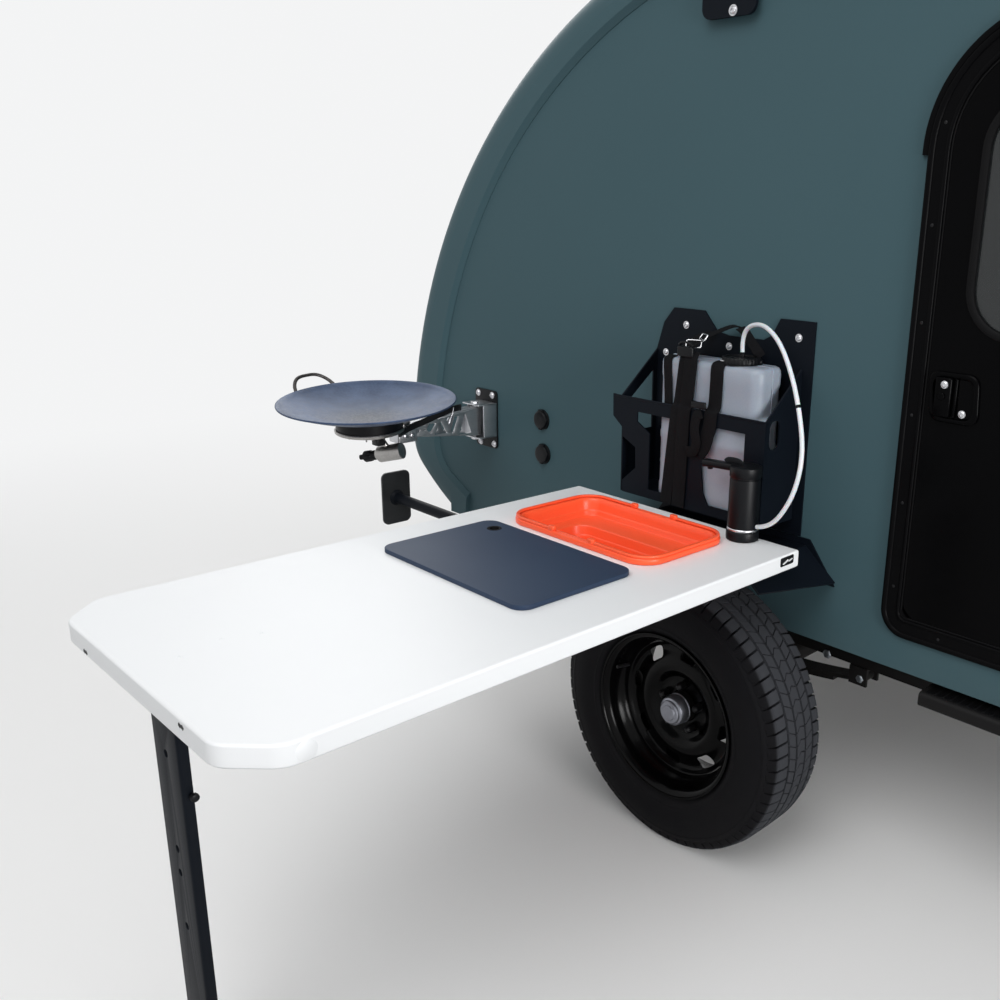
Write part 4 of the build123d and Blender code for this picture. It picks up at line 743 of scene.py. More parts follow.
# Side kitchen: the table's plate has two cut corners and a well for the tub
tableValues = dict(x=(-413, 288), y=(-2146.7, -897), z=(782, 820), corner=68, cornerRound=22, wallRound=6,
                   edge=4.8, marks=((-94, -1992), (-71, -2067), (-72, -1933)), plug=(288, -2047, 800))
tubValues = dict(x=(-297, 150), y=(-1238, -963), radius=58, well=19, ledge=62, near=44, far=90, wall=2.6,
                 rim=((4.5, 820.3), (0.6, 821.2), (0, 822.6), (0, 831.2), (0.9, 833.2), (3, 834), (5.8, 833.8),
                      (6.6, 831.8), (8.4, 831.4), (9.2, 833.6), (11.2, 834.2), (14.2, 834), (16.2, 832.6),
                      (18.2, 829), (20.5, 820), (22.2, 808), (22.8, 806), (24.6, 805.2), (25.6, 803.6),
                      (26.8, 794.5), (28.4, 792.2), (31, 791.5)),
                 basin=((0, 791.5), (1.8, 790.5), (3, 788), (5, 770), (5.6, 768.6), (7.2, 768), (8, 766.4),
                        (9.8, 748), (11.8, 744.2), (16, 742.5), (24, 742)))


# a rectangle with two corners cut off, thickened to a plate, with the tub's well as its hole
def makeTable(v, tub):
    (x0, x1), (y0, y1), c, (low, high) = v["x"], v["y"], v["corner"], v["z"]
    outer = softCorners(((x0, y1), (x0, y0 + c), (x0 + c, y0), (x1 - c, y0), (x1, y0 + c), (x1, y1)),
                        (v["wallRound"], *[v["cornerRound"]] * 4, v["wallRound"]))
    well = inset(tub["x"], tub["y"], tub["radius"], tub["well"])
    return flatPlate([outer, well], high - low, "XY", (low + high) / 2, v["edge"])


evenShade(putPiece("tableTop", [makeTable(tableValues, tubValues)], "tableWhite", "table_white", ("table_top",),
                   sharp=40))
tableFeet = [screw((x, y, 819.8), (0, 0, 1), 4.2, 0.25) for x, y in tableValues["marks"]]
tableFeet.append(spin([(0, 0.9), (14.5, 0.9), (15.8, 0.2), (15.8, -2), (0, -2)], tableValues["plug"],
                      (1, 0, 0), 40))
putPiece("tableCaps", tableFeet, "tableWhite", "table_white")


# edgeSlot: a raised lip round a sunken floor in the table's edge
def edgeSlot(across, level, width, height, plane, face, out):
    rows = ((0, -3), (0, 0.3), (0.6, 0.6), (1.4, 0.6), (1.8, 0.25), (4, 0.2))
    return raised((across - width / 2, across + width / 2), (level - height / 2, level + height / 2), 3,
                  [(by, face + out * step) for by, step in rows], 5, False, plane)


slots = [edgeSlot(x, z, 18, 6, "XZ", -2146.6, -1) for x, z in ((-258, 790), (126, 808.5))]
slots.append(edgeSlot(-942.5, 806, 48, 20, "YZ", 288, 1))
# the slots take the black finish as painted shade: it stands for the dark hollow inside each slot of the white
# table
putPiece("tableSlots", slots, "mouldedBlackAndSlotShade", "table_white")
catch = [sweep([(288.4, -958, 801), (289.3, -954, 803), (289.3, -944, 806.8), (288.4, -941, 808.2)],
               flatSection(4.2, 1.4, 0.5)),
         sweep([(288.4, -938, 804.5), (289.3, -936, 805), (289.3, -928, 807.2), (288.4, -926, 808)],
               flatSection(3.6, 1.4, 0.5))]
putPiece("tableCatch", catch, "tableWhite", "table_white")


# the tub: rim, groove, wall, ledge and basin are one sheet lofted through rounded loops
def makeTub(v):
    (x0, x1), (y0, y1) = v["x"], v["y"]
    loops = [inset(v["x"], v["y"], v["radius"], by, 10) for by, _ in v["rim"]]
    loops += [inset((x0 + v["ledge"], x1 - v["ledge"]), (y0 + v["near"], y1 - v["far"]), 40, by, 10)
              for by, _ in v["basin"]]
    return loft(loops, [level for _, level in v["rim"] + v["basin"]], False)


# bails: two bands that lie on the rim, each round one short end of the tub, with a thick end at each side
def makeBails(v):
    corner, near, far = v["radius"] - 4, v["y"][0] + 6, v["y"][1] - 6
    t = np.linspace(0, np.pi / 2, 10)
    round1, round2 = corner * (1 - np.sin(t)), corner * (1 - np.cos(t))
    bails = []
    for end, side, reach in ((v["x"][0], -1, -140), (v["x"][1], 1, -15)):
        edge = end - side * 4.5
        route = np.vstack([[(reach, far), (reach + side * 20, far)],
                           np.c_[edge - side * round1, far - round2], np.c_[edge - side * round2, near + round1],
                           [(reach + side * 20, near), (reach, near)]])
        bails.append(sweep(np.c_[route, np.full(len(route), 837.2)], flatSection(8.5, 5.8, 2)))
        bails += [softBox((reach - 9, reach + 9), (y - 6.2, y + 6.2), (833.6, 844.5), 2.2) for y in (near, far)]
    return bails


addWall(putPiece("foldingTub", [makeTub(tubValues)], "tubOrange", "tub_orange", ("sink_tub",), sharp=60,
                 facing=(0, 0, 1)), tubValues["wall"])
putPiece("tubBails", makeBails(tubValues), "tubOrange", "tub_orange", sharp=50)

boardValues = dict(x=(-305, 154), y=(-1566, -1272), low=820.2, thickness=9.8, radius=30, hole=(-243, -1312),
                   holeRadius=12, edge=1.6,
                   grommet=((0, 0.6), (9, 0.6), (9.8, 1.6), (10.2, 8), (11.2, 10), (16, 10.4), (16.8, 9.7),
                            (11.9, 9.2), (11.8, 0), (0, 0)))


# a rounded rectangle with a round hole, thickened to a plate
def makeBoard(v):
    return flatPlate([roundedLoop(v["x"], v["y"], v["radius"]), circle(v["holeRadius"], 36, v["hole"])],
                     v["thickness"], "XY", v["low"] + v["thickness"] / 2, v["edge"])


evenShade(putPiece("cuttingBoard", [makeBoard(boardValues)], "boardSlate", "board_slate", ("cutting_board",),
                   sharp=40))
putPiece("boardGrommet", [spin(boardValues["grommet"], (*boardValues["hole"], boardValues["low"]), steps=40)],
         "sealRubber", "board_slate", sharp=40)

# Leg: a folded channel with holes, a turned foot, a knob and the hinge's bolts
legValues = dict(x=-62.5, half=49, front=-2108, deep=18, low=10, top=766, holes=(670, 495, 450, 345), hole=7,
                 wall=3, bend=6, knobPlace=(-14, -2093, 611),
                 knob=((0, 14), (5, 14), (6.6, 13), (7, 11.5), (7, 6), (6, 5), (4, 4.5), (4, 0), (0, 0)))


# a front plate with holes, on each side a bent section carried up its height, and a boxed foot
def makeLeg(v):
    x, w, r, front, levels = v["x"], v["half"], v["bend"], v["front"], (v["low"], v["top"])
    back = front + v["deep"]
    parts = [flatPlate([roundedLoop((x - w + r, x + w - r), levels, 0.6, 3),
                        *[circle(v["hole"], 24, (x, z)) for z in v["holes"]]],
                       v["wall"], "XZ", front + v["wall"] / 2, 0.4)]
    t = np.linspace(0, np.pi / 2, 6)
    for side in (-1, 1):
        bends = [np.c_[side * (w - r + radius * np.sin(a)), front + r - radius * np.cos(a)]
                 for radius, a in ((r, t), (r - v["wall"], t[::-1]))]
        loop = np.vstack([bends[0], [(side * w, back - 0.6), (side * (w - v["wall"]), back)], bends[1]]) + (x, 0)
        parts.append(loft([loop, loop], levels))
    return [*parts, softBox((x - w - 8, x + w + 8), (front - 6, back + 6), (0, 12), 3.5)]


putPiece("legChannel", makeLeg(legValues), "powderBlack", "black_steel", ("table_leg",), "table_leg", sharp=35)
putPiece("legKnob", [spin(legValues["knob"], legValues["knobPlace"], (1, 0, 0), 48, (0, 0, 0, 1, 1, 0, 0, 0, 0),
                          0.8)], "mouldedBlackAndSlotShade", "black_steel", body="table_leg")
hingeBolts = []
for side in (-1, 1):
    across = legValues["x"] + side * 56
    hingeBolts += [nut((across, -2099, 752), (side, 0, 0), 8.5, 6),
                   screw((across, -2086, 770.5), (side, 0, 0), 4, 0.5, 1.5)]
putPiece("legBolts", hingeBolts, "boltBlack", "black_steel")
print("table, tub and leg are made")

# Pump: a turned body with a grip band, a metal ring and a lid whose spout bar reaches over the table.
# Spout and lever are (along the spout's way, up).
pumpValues = dict(
    middle=(155, -929, 820), turn=10.0,
    body=((0, 0.4), (34, 0.4), (36.8, 2.2), (37.2, 6), (37, 20), (35.8, 22.8), (35, 23.6), (34.6, 29),
          (35, 30.2), (35.2, 34), (34.5, 136), (33.8, 139.6), (32.6, 140.4), (32.6, 142.8),
          (35, 143.6), (35.8, 145), (36, 162), (35, 166.4), (32.4, 168), (20, 168.4), (0, 168.4)),
    band=((34.4, 23.2), (35.5, 23.8), (35.7, 26.2), (35.5, 28.6), (34.4, 29.2)),
    spout=((0, 160), (30, 160), (80, 159.8), (96, 159.4), (105, 158.6)),
    nozzle=((0, 0), (5.5, 0), (6.2, 1), (6.6, 10), (6.6, 16), (0, 16)), nozzlePlace=(90, 146.5),
    lever=((12, 167), (18, 172.2), (30, 174), (44, 173.2), (50, 168)),
    gland=((0, 0), (6, 0), (6.4, 1), (6.4, 3), (5.6, 3.6), (5.6, 5), (6.4, 5.6), (6.4, 8.6), (7.2, 10),
           (7.2, 16.5), (0, 16.5)), glandPlace=(193, -929, 856), glandWay=(-0.964, 0.093, -0.249))


# body, nozzle and gland are turned profiles; spout and lever are carried along smooth curves
def makePump(v):
    middle, turn = np.array(v["middle"]), math.radians(v["turn"])
    way = np.array((-math.cos(turn), -math.sin(turn), 0))
    spout, lever, (nozzle,) = ([middle + way * along + (0, 0, up) for along, up in part]
                               for part in (v["spout"], v["lever"], [v["nozzlePlace"]]))
    return [spin(v["body"], middle, steps=64), sweep(smoothPath(spout, 20), flatSection(24, 15.8, 4.8)),
            spin(v["nozzle"], nozzle, steps=24),
            sweep(smoothPath(lever, 16), flatSection(15, 3.4, 1.4), (way[1], -way[0], 0)),
            spin(v["gland"], v["glandPlace"], v["glandWay"], 24)]


putPiece("tapPump", makePump(pumpValues), "mouldedBlackAndSlotShade", "black_steel", ("tap_pump",), sharp=35)
putPiece("pumpRing", [spin(pumpValues["band"], pumpValues["middle"], steps=64)], "boltBright", "black_steel",
         sharp=60)

# Tank: rounded loops up its height with a shallow panel pressed in below the top, and a ribbed cap
tankValues = dict(
    x=(-163, 139), y=(-879, -779), radius=30, seamLow=848, cap=(48, -829, 1190),
    rows=((12, 846.2), (4, 847.8), (0.8, 853), (0, 860), (0, 880), (1.6, 886), (1.8, 990), (0, 996),
          (0, 1008), (1.8, 1014), (1.8, 1140), (0, 1148), (0, 1174), (1.2, 1181), (4.8, 1186.8),
          (10, 1189.4), (20, 1190)),
    lid=((30, -0.5), (47.5, -0.5), (47.8, 2.2), (44.5, 2.6), (44.8, 3.6), (44.8, 12.8), (43.2, 15.2),
         (40, 15.8), (37.2, 15), (36.6, 13.2), (18, 13), (17.2, 15), (12, 15.2), (0, 15.2)),
    lidRibs=(0, 0, 0, 0, 0.3, 1, 0.6, 0, 0, 0, 0, 0, 0, 0),
    spigot=((7.2, 12), (7.2, 17.5), (6.4, 18.5), (6.4, 21.5), (5.6, 22.2), (5.6, 24), (6.2, 25), (6.2, 26.2),
            (0, 26.2)))


# a rounded loop carried up the tank's height, drawn in by its rows
def makeTank(v):
    # the moulding's seam runs over both ends and the top
    (x0, x1), (_, middle, top) = v["x"], v["cap"]
    seam = roundedLoop((x0 - 0.4, x1 + 0.4), (v["seamLow"], top + 0.4), 14)
    return [raised(v["x"], v["y"], v["radius"], v["rows"], 9),
            sweep(inPlane(*seam.T, np.full(len(seam), middle), "XZ"), flatSection(1.6, 2.6, 0.6),
                  (0, 1, 0), True)]


putPiece("waterTank", makeTank(tankValues), "tankPlastic", "tank_plastic", ("water_tank",), sharp=40)
capParts = [spin(tankValues["lid"], tankValues["cap"], (0, 0, 1), 120, tankValues["lidRibs"], 1.6),
            spin(tankValues["spigot"], (50.2, -829, 1190), steps=24),
            softBox((78, 90), (-812, -800), (1189.5, 1200), 2)]
putPiece("tankCap", capParts, "mouldedBlackAndSlotShade", "tank_plastic", sharp=35)

# Hose: the route's own points, with an unseen curve that the tube follows
hoseValues = dict(diameter=10, length=673, route=(
    (50, -829, 1216), (48, -830, 1250), (72, -838, 1279), (122, -850, 1286), (180, -868, 1254),
    (232, -890, 1190), (274, -914, 1118), (300, -930, 1040), (294, -938, 964), (262, -938, 900),
    (224, -932, 864), (193, -929, 856)))


# a curve of second degree that the route's points pull, from the first to the last of them
def hoseCurve(route):
    curve = bpy.data.curves.new("hose", "CURVE")
    curve.dimensions, curve.resolution_u = "3D", 12
    spline = curve.splines.new("NURBS")
    spline.points.add(len(route) - 1)
    spline.points.foreach_set("co", np.c_[np.array(route) * mm, np.ones(len(route))].ravel())
    spline.order_u, spline.use_endpoint_u = 3, True
    return meshOfCurve(curve)[0]


hoseLine, hoseSide = hoseCurve(hoseValues["route"]), (0.1, 1, 0.05)
hose = putPiece("waterHose", [sweep(hoseLine, circle(hoseValues["diameter"] / 2, 20), hoseSide)], "hoseMilk",
                "hose_white", ("water_hose",), sharp=60)
print("pump, tank and hose are made")

# Straps: each row is width, thickness, the way its width faces, and its route
strapValues = (
    # front column, lying over the holder's front plate, and back over the tank to the wall
    (38, 3.0, (1, 0, 0), ((-71, -892.5, 838), (-68, -892.5, 900), (-63, -892.5, 1060), (-60, -889, 1090),
                          (-55, -886, 1160), (-53, -885, 1195), (-54, -876, 1208))),
    (36, 3.0, (1, 0, 0), ((-112, -891, 838), (-105, -890.8, 900), (-88, -890.5, 1060), (-83, -885, 1090),
                          (-76, -883, 1160), (-72, -882, 1192), (-74, -870, 1206))),
    (30, 3.2, (0.86, -0.50, 0), ((-74, -880, 1206), (-74, -860, 1218), (-66, -835, 1234), (-40, -810, 1252),
                                 (-12, -786, 1266), (4, -768, 1260))),
    (26, 3.0, (1, 0, 0), ((-86, -864, 1212), (-100, -840, 1220), (-104, -810, 1230), (-92, -782, 1242),
                          (-85, -767, 1243))),
    (24, 2.6, (0.55, 0.80, 0.2), ((10, -790, 1264), (30, -796, 1256), (52, -800, 1236), (66, -795, 1218),
                                  (70, -786, 1204))),
    # small strap at the tank's left
    (25, 2.6, (1, 0, 0), ((-128, -860, 1192), (-129, -877, 1188), (-128, -881.5, 1175), (-125, -881.5, 1135),
                          (-122, -881.5, 1090), (-120, -883, 1045))),
    # second strap over the tank's edge, round the bar and its loose tail
    (37, 2.8, (1, 0, 0), ((24, -830, 1193), (23, -864, 1193), (22, -880, 1184), (22, -882, 1150),
                          (21, -882.2, 1110), (20, -884, 1088), (18, -891.5, 1078), (16, -892.5, 1050),
                          (12, -892.5, 1030), (4, -893, 1000), (-10, -895, 979))),
    (26, 2.6, (1, 0, 0), ((-6, -895.5, 1075), (-18, -898.5, 1065), (-22, -900, 1035), (-16, -899, 1005),
                          (-24, -898, 984), (-46, -897.5, 978))))


# webbing: a flat strap along its route; U runs across it and V along it, both in tenths of a metre
def webbing(width, thickness, across, route):
    path = smoothPath(route, 40)
    section = flatSection(thickness, width, thickness * 0.45, 3)
    run = np.r_[0, 0, np.cumsum(np.linalg.norm(np.diff(path, axis=0), axis=1))]
    uv = np.stack(np.broadcast_arrays(section[None, :, 1], np.r_[run, run[-1]][:, None]), -1) / 100
    return sweep(path, section, across), uv.reshape(-1, 2)


strapParts, strapUv = zip(*[webbing(*row) for row in strapValues])
putPiece("tankStraps", strapParts, "strapWeb", "strap_webbing", ("tank_straps",), sharp=50, join=False,
         uv=np.vstack(strapUv))
# cam buckles: a body with a rounded lever, and bright wire rings where the straps fold
buckles = [softBox((-96, -48), (-890, -874), (1196, 1220), 4),
           sweep(smoothPath([(-93, -882, 1223), (-80, -886, 1229), (-62, -886, 1229), (-51, -882, 1223)], 18),
                 flatSection(8, 5, 2)),
           softBox((-40, 4), (-897.5, -890), (1084, 1100), 3)]
putPiece("strapBuckles", buckles, "mouldedBlackAndSlotShade", "strap_webbing")


# wireRing: a circle whose cosine and sine are cut off, so that it has four straight sides
def wireRing(centre, half, across, upright):
    t = np.arange(28) * np.pi / 14
    wide, tall = (reach * np.clip(1.3 * wave, -1, 1)[:, None]
                  for reach, wave in zip(half, (np.cos(t), np.sin(t))))
    path = np.array(centre) + wide * np.array(across) + tall * np.array(upright)
    return sweep(path, circle(1.8, 10), np.cross(across, upright), closed=True)


rings = [wireRing((-72, -856, 1224), (18, 9), (0.9, 0.43, 0), (-0.2, 0.42, 0.88)),
         wireRing((-60, -836, 1239), (17, 8), (0.86, -0.5, 0), (0.3, 0.5, 0.8)),
         wireRing((30, -862, 1199), (12, 6), (1, 0, 0), (0, 0.9, 0.4)),
         wireRing((80, -846, 1198), (9, 6), (0.8, 0.6, 0), (0, 0.4, 0.9))]
putPiece("strapRings", rings, "boltBright", "strap_webbing")
holderBolts = [screw((x, -764, z), (0, -1, 0), 6.8, 0.55, 1.35) for x, z in ((-176, 1253), (156, 1254))]
holderBolts += [screw((x, -764, z), (0, -1, 0), 6, 0.5, 1.5)
                for x, z in ((-240, 1180), (-240, 900), (150, 1020), (150, 860), (-40, 1215))]
putPiece("holderBolts", holderBolts, "boltBright", "black_steel")
# the holder's shelf and plates have rolled rims
plateRims = [sweep([(-292, -887.5, 1076.5), (-284, -887.5, 1077), (165, -887.5, 1078.5)],
                   flatSection(5.2, 6, 2.2))]
plateRims += [sweep([(x, -886, 1079), (x, -764, 1184)], flatSection(5.2, 5.2, 2)) for x in (169, -270)]
putPiece("holderRims", plateRims, "powderBlack", "black_steel")
bandPart = hoseLine[(hoseLine[:, 2] < 1135) & (hoseLine[:, 2] > 1124) & (hoseLine[:, 0] > 200)]
putPiece("hoseBand", [sweep(bandPart, circle(5.8, 20), hoseSide)], "mouldedBlackAndSlotShade", "hose_white")
print("straps and holder are made")

# Stove: wall plate, silver yoke, cut-out arm, burner with its ring and valve, and the pan
stoveValues = dict(x=-965, pivot=-818, mid=898, plate=((-1030, -925), (806, 985)), yoke=40, yokeZ=(846, 950),
                   bolts=((-1013, 971), (-945, 971), (-1005, 818), (-939, 820)))
armValues = dict(near=-814, far=-1052, tall=44, low=16, sheet=3, sides=(-987.5, -942.5), bars=(-978, -952),
                 cutouts=((-850, 1), (-896, -1), (-938, 1), (-976, -1)), holes=(-1016, -1036))
sx, pivot, mid = (stoveValues[key] for key in ("x", "pivot", "mid"))
wallPlate = flatPlate([roundedLoop(*stoveValues["plate"], 12)], 5, "XZ", -762.5, 1)
putPiece("stovePlate", [wallPlate], "mouldedBlackAndSlotShade", "arm_aluminium", ("stove_bracket",))
putPiece("stoveBolts", [screw((x, -765, z), (0, -1, 0), 7.8, 0.6, 1.3) for x, z in stoveValues["bolts"]],
         "boltBright", "arm_aluminium")


# a back, two level plates, two cheeks, and a turned pin between two nuts
def makeYoke(v):
    (z0, z1), half = v["yokeZ"], v["yoke"]
    x = (sx - half, sx + half)
    return [sheetBox(x, (-769, -765), (z0, z1)),
            *[sheetBox(x, (-834, -766), z) for z in ((z1 - 4, z1), (z0, z0 + 4))],
            *[sheetBox(cheek, (-815, -766), (z0 + 1, z1 - 1)) for cheek in ((x[0], x[0] + 3), (x[1] - 3, x[1]))],
            spin([(0, -55), (5.8, -55), (5.8, 49), (0, 49)], (sx, pivot, mid), steps=24),
            *[nut((sx, pivot, z), (0, 0, way), 11.5, 8) for z, way in ((z1, 1), (z0, -1))]]


# the arm: two tapered plates with triangles cut out in turn, a top strip, a bush and two inner bars
def makeArm(v):
    near, far, tall, low = v["near"], v["far"], v["tall"], v["low"]
    side = softCorners(((near, mid - tall), (far, mid - low), (far, mid + low), (near, mid + tall)), 4, 5)
    holes = []
    for y, way in v["cutouts"]:
        high = way * (tall + (low - tall) * (-838 - y) / 214 - 11)
        holes.append(softCorners(((y, mid - high), (y - 44, mid - high), (y - 22, mid + high)), 4))
    holes += [circle(4.5, 16, (y, mid)) for y in v["holes"]]
    return [*[flatPlate([side, *holes], v["sheet"], "YZ", x, 0.6) for x in v["sides"]],
            sweep([(sx, near, mid + tall - 1.8), (sx, far, mid + low - 1.8)], flatSection(46, 3, 1)),
            spin([(6.4, -43.5), (14, -43.5), (14, 43.5), (6.4, 43.5), (6.4, -43.5)], (sx, pivot, mid), steps=36),
            sheetBox((sx - 22, sx + 22), (-842, -832), (mid - 40, mid + 40)),
            *[sweep([(x, -850, 939), (x, -1040, 913.5)], flatSection(6, 4, 1.5)) for x in v["bars"]]]


putPiece("stoveYoke", makeYoke(stoveValues), "armAluminium", "arm_aluminium", sharp=35)
putPiece("stoveArm", makeArm(armValues), "armAluminium", "arm_aluminium", ("stove_arm",), "stove", sharp=35)
clamp = [softBox((sx - 25.5, sx + 25.5), (-1104, -1040), (868, 905), 3),
         softBox((sx - 20, sx + 20), (-1100, -1058), (900, 932), 3)]
putPiece("armClamp", clamp, "armAluminium", "arm_aluminium", body="stove")
putPiece("clampScrews", [screw((sx + 25.6, y, 887.5), (1, 0, 0), 6.8, 0.3, 1.3) for y in (-1058, -1080)],
         "boltBright", "arm_aluminium", body="stove")
putPiece("brassScrews", [nut((sx + 20, -1090, 921.5), (1, 0, 0), 8, 6),
                         screw((sx + 26, -1090, 921.5), (1, 0, 0), 5, 0.8)], "brassValve", "burner_steel",
         body="stove")

# the pan's frame: its tilt about X and Y, and the burner under it in the same frame
panValues = dict(middle=(-965, -1181, 997), tilt=(3.2, 2.5), radius=241, depth=52, sheet=3, handleHalf=66,
                 handleRise=31, handleReach=30, handleTurn=7.0, wire=5,
                 lip=((-0.6, -1.6), (0.4, 0.4), (0, 2.2), (-1.4, 3), (-3.4, 2.6)))
panTurn = np.array(Matrix.Rotation(math.radians(panValues["tilt"][0]), 3, "X")
                   @ Matrix.Rotation(math.radians(panValues["tilt"][1]), 3, "Y"))


# parts drawn about the middle of the pan's rim, tilted and put there
def onPan(parts):
    return [moved(part, panTurn, panValues["middle"]) for part in parts]


# the dish is part of a ball's surface with a rolled lip, and goes back inside a sheet's thickness higher
def makeDish(v):
    ball = (v["radius"] ** 2 + v["depth"] ** 2) / (2 * v["depth"])
    r = np.linspace(0, v["radius"] - 3, 26)
    under = np.c_[r, ball - v["depth"] - np.sqrt(ball ** 2 - r ** 2)]
    return spin(np.vstack([under, np.add(v["lip"], (v["radius"], 0)), under[-2::-1] + (0, v["sheet"])]),
                (0, 0, 0), steps=96)


# the handle: a wire bowed out and up by 1 - |t|^2.6, with a foot at each end
def makeGrip(v):
    root = math.sqrt(v["radius"] ** 2 - v["handleHalf"] ** 2) - v["wire"]
    t = np.linspace(-1, 1, 30)
    bow = np.maximum(0, 1 - np.abs(t) ** 2.6) ** 0.55
    out = root + 4 + (v["radius"] + v["handleReach"] - root - 4) * bow
    line = np.c_[-out, v["handleHalf"] * np.sign(t) * np.abs(t) ** 0.8 * (0.86 + 0.14 * (1 - bow)),
                 -4 + (v["handleRise"] + 4) * bow]
    turn = Matrix.Rotation(math.radians(v["handleTurn"]), 3, "Z")
    feet = [moved(softBox((-14, 10), (-12, 12), (-4.5, 0.8), 1.5), None, (2 - root, y, -8))
            for y in (-v["handleHalf"], v["handleHalf"])]
    return [moved(part, turn) for part in (sweep(line, circle(v["wire"], 12), (0, 0.02, 1)), *feet)]


putPiece("griddlePan", onPan([makeDish(panValues)]), "panSteel", "pan_steel", ("griddle_pan",), "stove",
         sharp=40)
putPiece("panHandle", onPan(makeGrip(panValues)), "darkSteel", "pan_steel", body="stove", sharp=40)
burnerValues = dict(  # heights are below the pan's rim
    ring=((89.5, -45.5), (90.5, -46.5), (90.5, -74.5), (88.5, -75.5), (87.5, -74.5), (87.5, -46.5),
          (89.5, -45.5)),
    rim=((87, -75.5), (94, -75), (95.5, -77.5), (94.5, -83.5), (91.5, -85.5), (88, -84.5), (86.5, -80.5),
         (87, -75.5)),
    head=((0, -59.5), (26, -59.5), (34, -62.5), (36, -69.5), (30, -79.5), (20, -89.5), (16, -105.5),
          (0, -105.5)),
    spokes=(20, 110, 200, 290), spokeReach=(30, 88), spokeLevel=-79.5, knobAt=81.5,
    valve=(-890, -1124, 862), valveWay=(-0.857, -0.515, -0.230),
    tube=((0, 0), (18, 0), (22.5, 2), (23.2, 6), (23.2, 70), (21.8, 73), (15, 75), (13, 82), (0, 82)),
    elbow=((-928, -1150, 868), (-938, -1164, 895), (-952, -1178, 918), (-962, -1181, 930)),
    wire=((-950, -1200, 888), (-930, -1210, 900), (-905, -1208, 909), (-880, -1195, 917)),
    knob=((0, 0), (13, 0), (13.8, 2), (13.8, 14), (16, 16), (16.4, 34), (14.5, 37), (8, 39), (7.2, 52), (0, 54)),
    knobRibs=(0, 0, 0, 0, 1, 1, 0, 0, 0, 0))
ringParts = [spin(burnerValues["ring"], (0, 0, 0), steps=80)]
for angle in np.radians(burnerValues["spokes"]):
    along = np.array((math.cos(angle), math.sin(angle), 0))
    ringParts.append(sweep([along * r + (0, 0, burnerValues["spokeLevel"]) for r in burnerValues["spokeReach"]],
                           flatSection(4, 16, 1)))
putPiece("burnerRing", onPan(ringParts), "mouldedBlackAndSlotShade", "burner_steel", ("burner",), "stove", sharp=40)
putPiece("burnerRim", onPan([spin(burnerValues["rim"], (0, 0, 0), steps=80),
                             spin(burnerValues["head"], (0, 0, 0), steps=48)]),
         "burnerSteel", "burner_steel", body="stove", sharp=35)
# a dark band runs from the ring back over the arm
bandRoute = [(-898, -1128, 908), (-912, -1100, 912), (-924, -1064, 918), (-926, -1030, 925), (-926, -985, 937),
             (-928, -935, 948), (-934, -905, 950), (-944, -886, 948)]
putPiece("ringBand", [sweep(smoothPath(bandRoute, 30), flatSection(7, 19, 3))], "boltBlack", "burner_steel",
         body="stove", sharp=50)
valveStart, valveWay = np.array(burnerValues["valve"]), np.array(burnerValues["valveWay"])
valveWay /= np.linalg.norm(valveWay)
valve = [spin(burnerValues["tube"], valveStart, valveWay, 40),
         sweep(smoothPath(burnerValues["elbow"], 16), circle(8.5, 16)),
         sweep(smoothPath(burnerValues["wire"], 18), circle(2.2, 10))]
putPiece("burnerTube", valve, "burnerSteel", "burner_steel", body="stove", sharp=35)
stoveKnob = spin(burnerValues["knob"], valveStart + valveWay * burnerValues["knobAt"], valveWay, 40,
                 burnerValues["knobRibs"], 1.6)
putPiece("stoveKnob", [stoveKnob], "mouldedBlackAndSlotShade", "burner_steel", body="stove", sharp=35)
# a slim bright rod stands against the arm, and a dark block holds the valve's linkage
rods = [sweep(smoothPath([(-924, -924.5, 956), (-922, -930, 940), (-923, -944, 908)], 14), circle(1.8, 10)),
        sweep(smoothPath([(-934, -1216, 905), (-930, -1190, 895), (-936, -1150, 900), (-932, -1120, 908)], 18),
              circle(2, 10))]
putPiece("valveRods", rods, "boltBright", "burner_steel", body="stove")
putPiece("valveBlock", [softBox((-952, -922), (-1184, -1156), (876, 898), 3)], "boltBlack", "burner_steel",
         body="stove")
# the pan is darker at its middle: a mask from the distance to it mixes a deep blue grey over the steel
heatValues = dict(colour=(0.018, 0.022, 0.032), low=0.055, high=0.180, most=0.85, mottle=0.05)
steel = made["panSteel"].node_tree
where = steel.nodes["Texture Coordinate"].outputs["Object"]
fromMiddle = addNode(steel, "VectorMath", {0: where, 1: tuple(
    np.array(panValues["middle"]) * mm + place - (0, 0, 0.049))}, operation="DISTANCE")["Value"]
mottle = addMath(steel, "MULTIPLY", addNoise(steel, where, 16.0, 5.0, 0.6), heatValues["mottle"])
overlay(steel, addRange(steel, addMath(steel, "ADD", fromMiddle, mottle), heatValues["low"], heatValues["high"],
                        heatValues["most"], 0.0), heatValues["colour"])
print("stove is made")


# Doors: a seal in the gap, the small screws of the frame, a drip moulding, and the latch in its bezel.
# Bands are rows of (drawn in by, outwards from the wall's face).
doorValues = dict(
    x=(425, 1085), z=(636, 1880), tops=(240, 260), low=60, face=-767, pitch=183,
    window=((545, 965), (1300, 1730)),
    outerBand=((1, -2), (1.5, 3), (4, 4.2), (10, 4.2), (13, 2.5), (14, -2)),
    innerBand=((36, -2), (36.5, 2), (39, 3.2), (42, 3.2), (44, 1.8), (44.5, -2)),
    seal=((45.2, -10), (45.6, -0.6), (47.5, 0.4), (49.6, -0.6), (50, -10)),
    windowBand=((-10, -2), (-9.5, 2), (-6, 3.2), (2, 2.8), (5.2, 0.8), (6, -5.2), (4, -5.5), (1, -5)))
face = doorValues["face"]


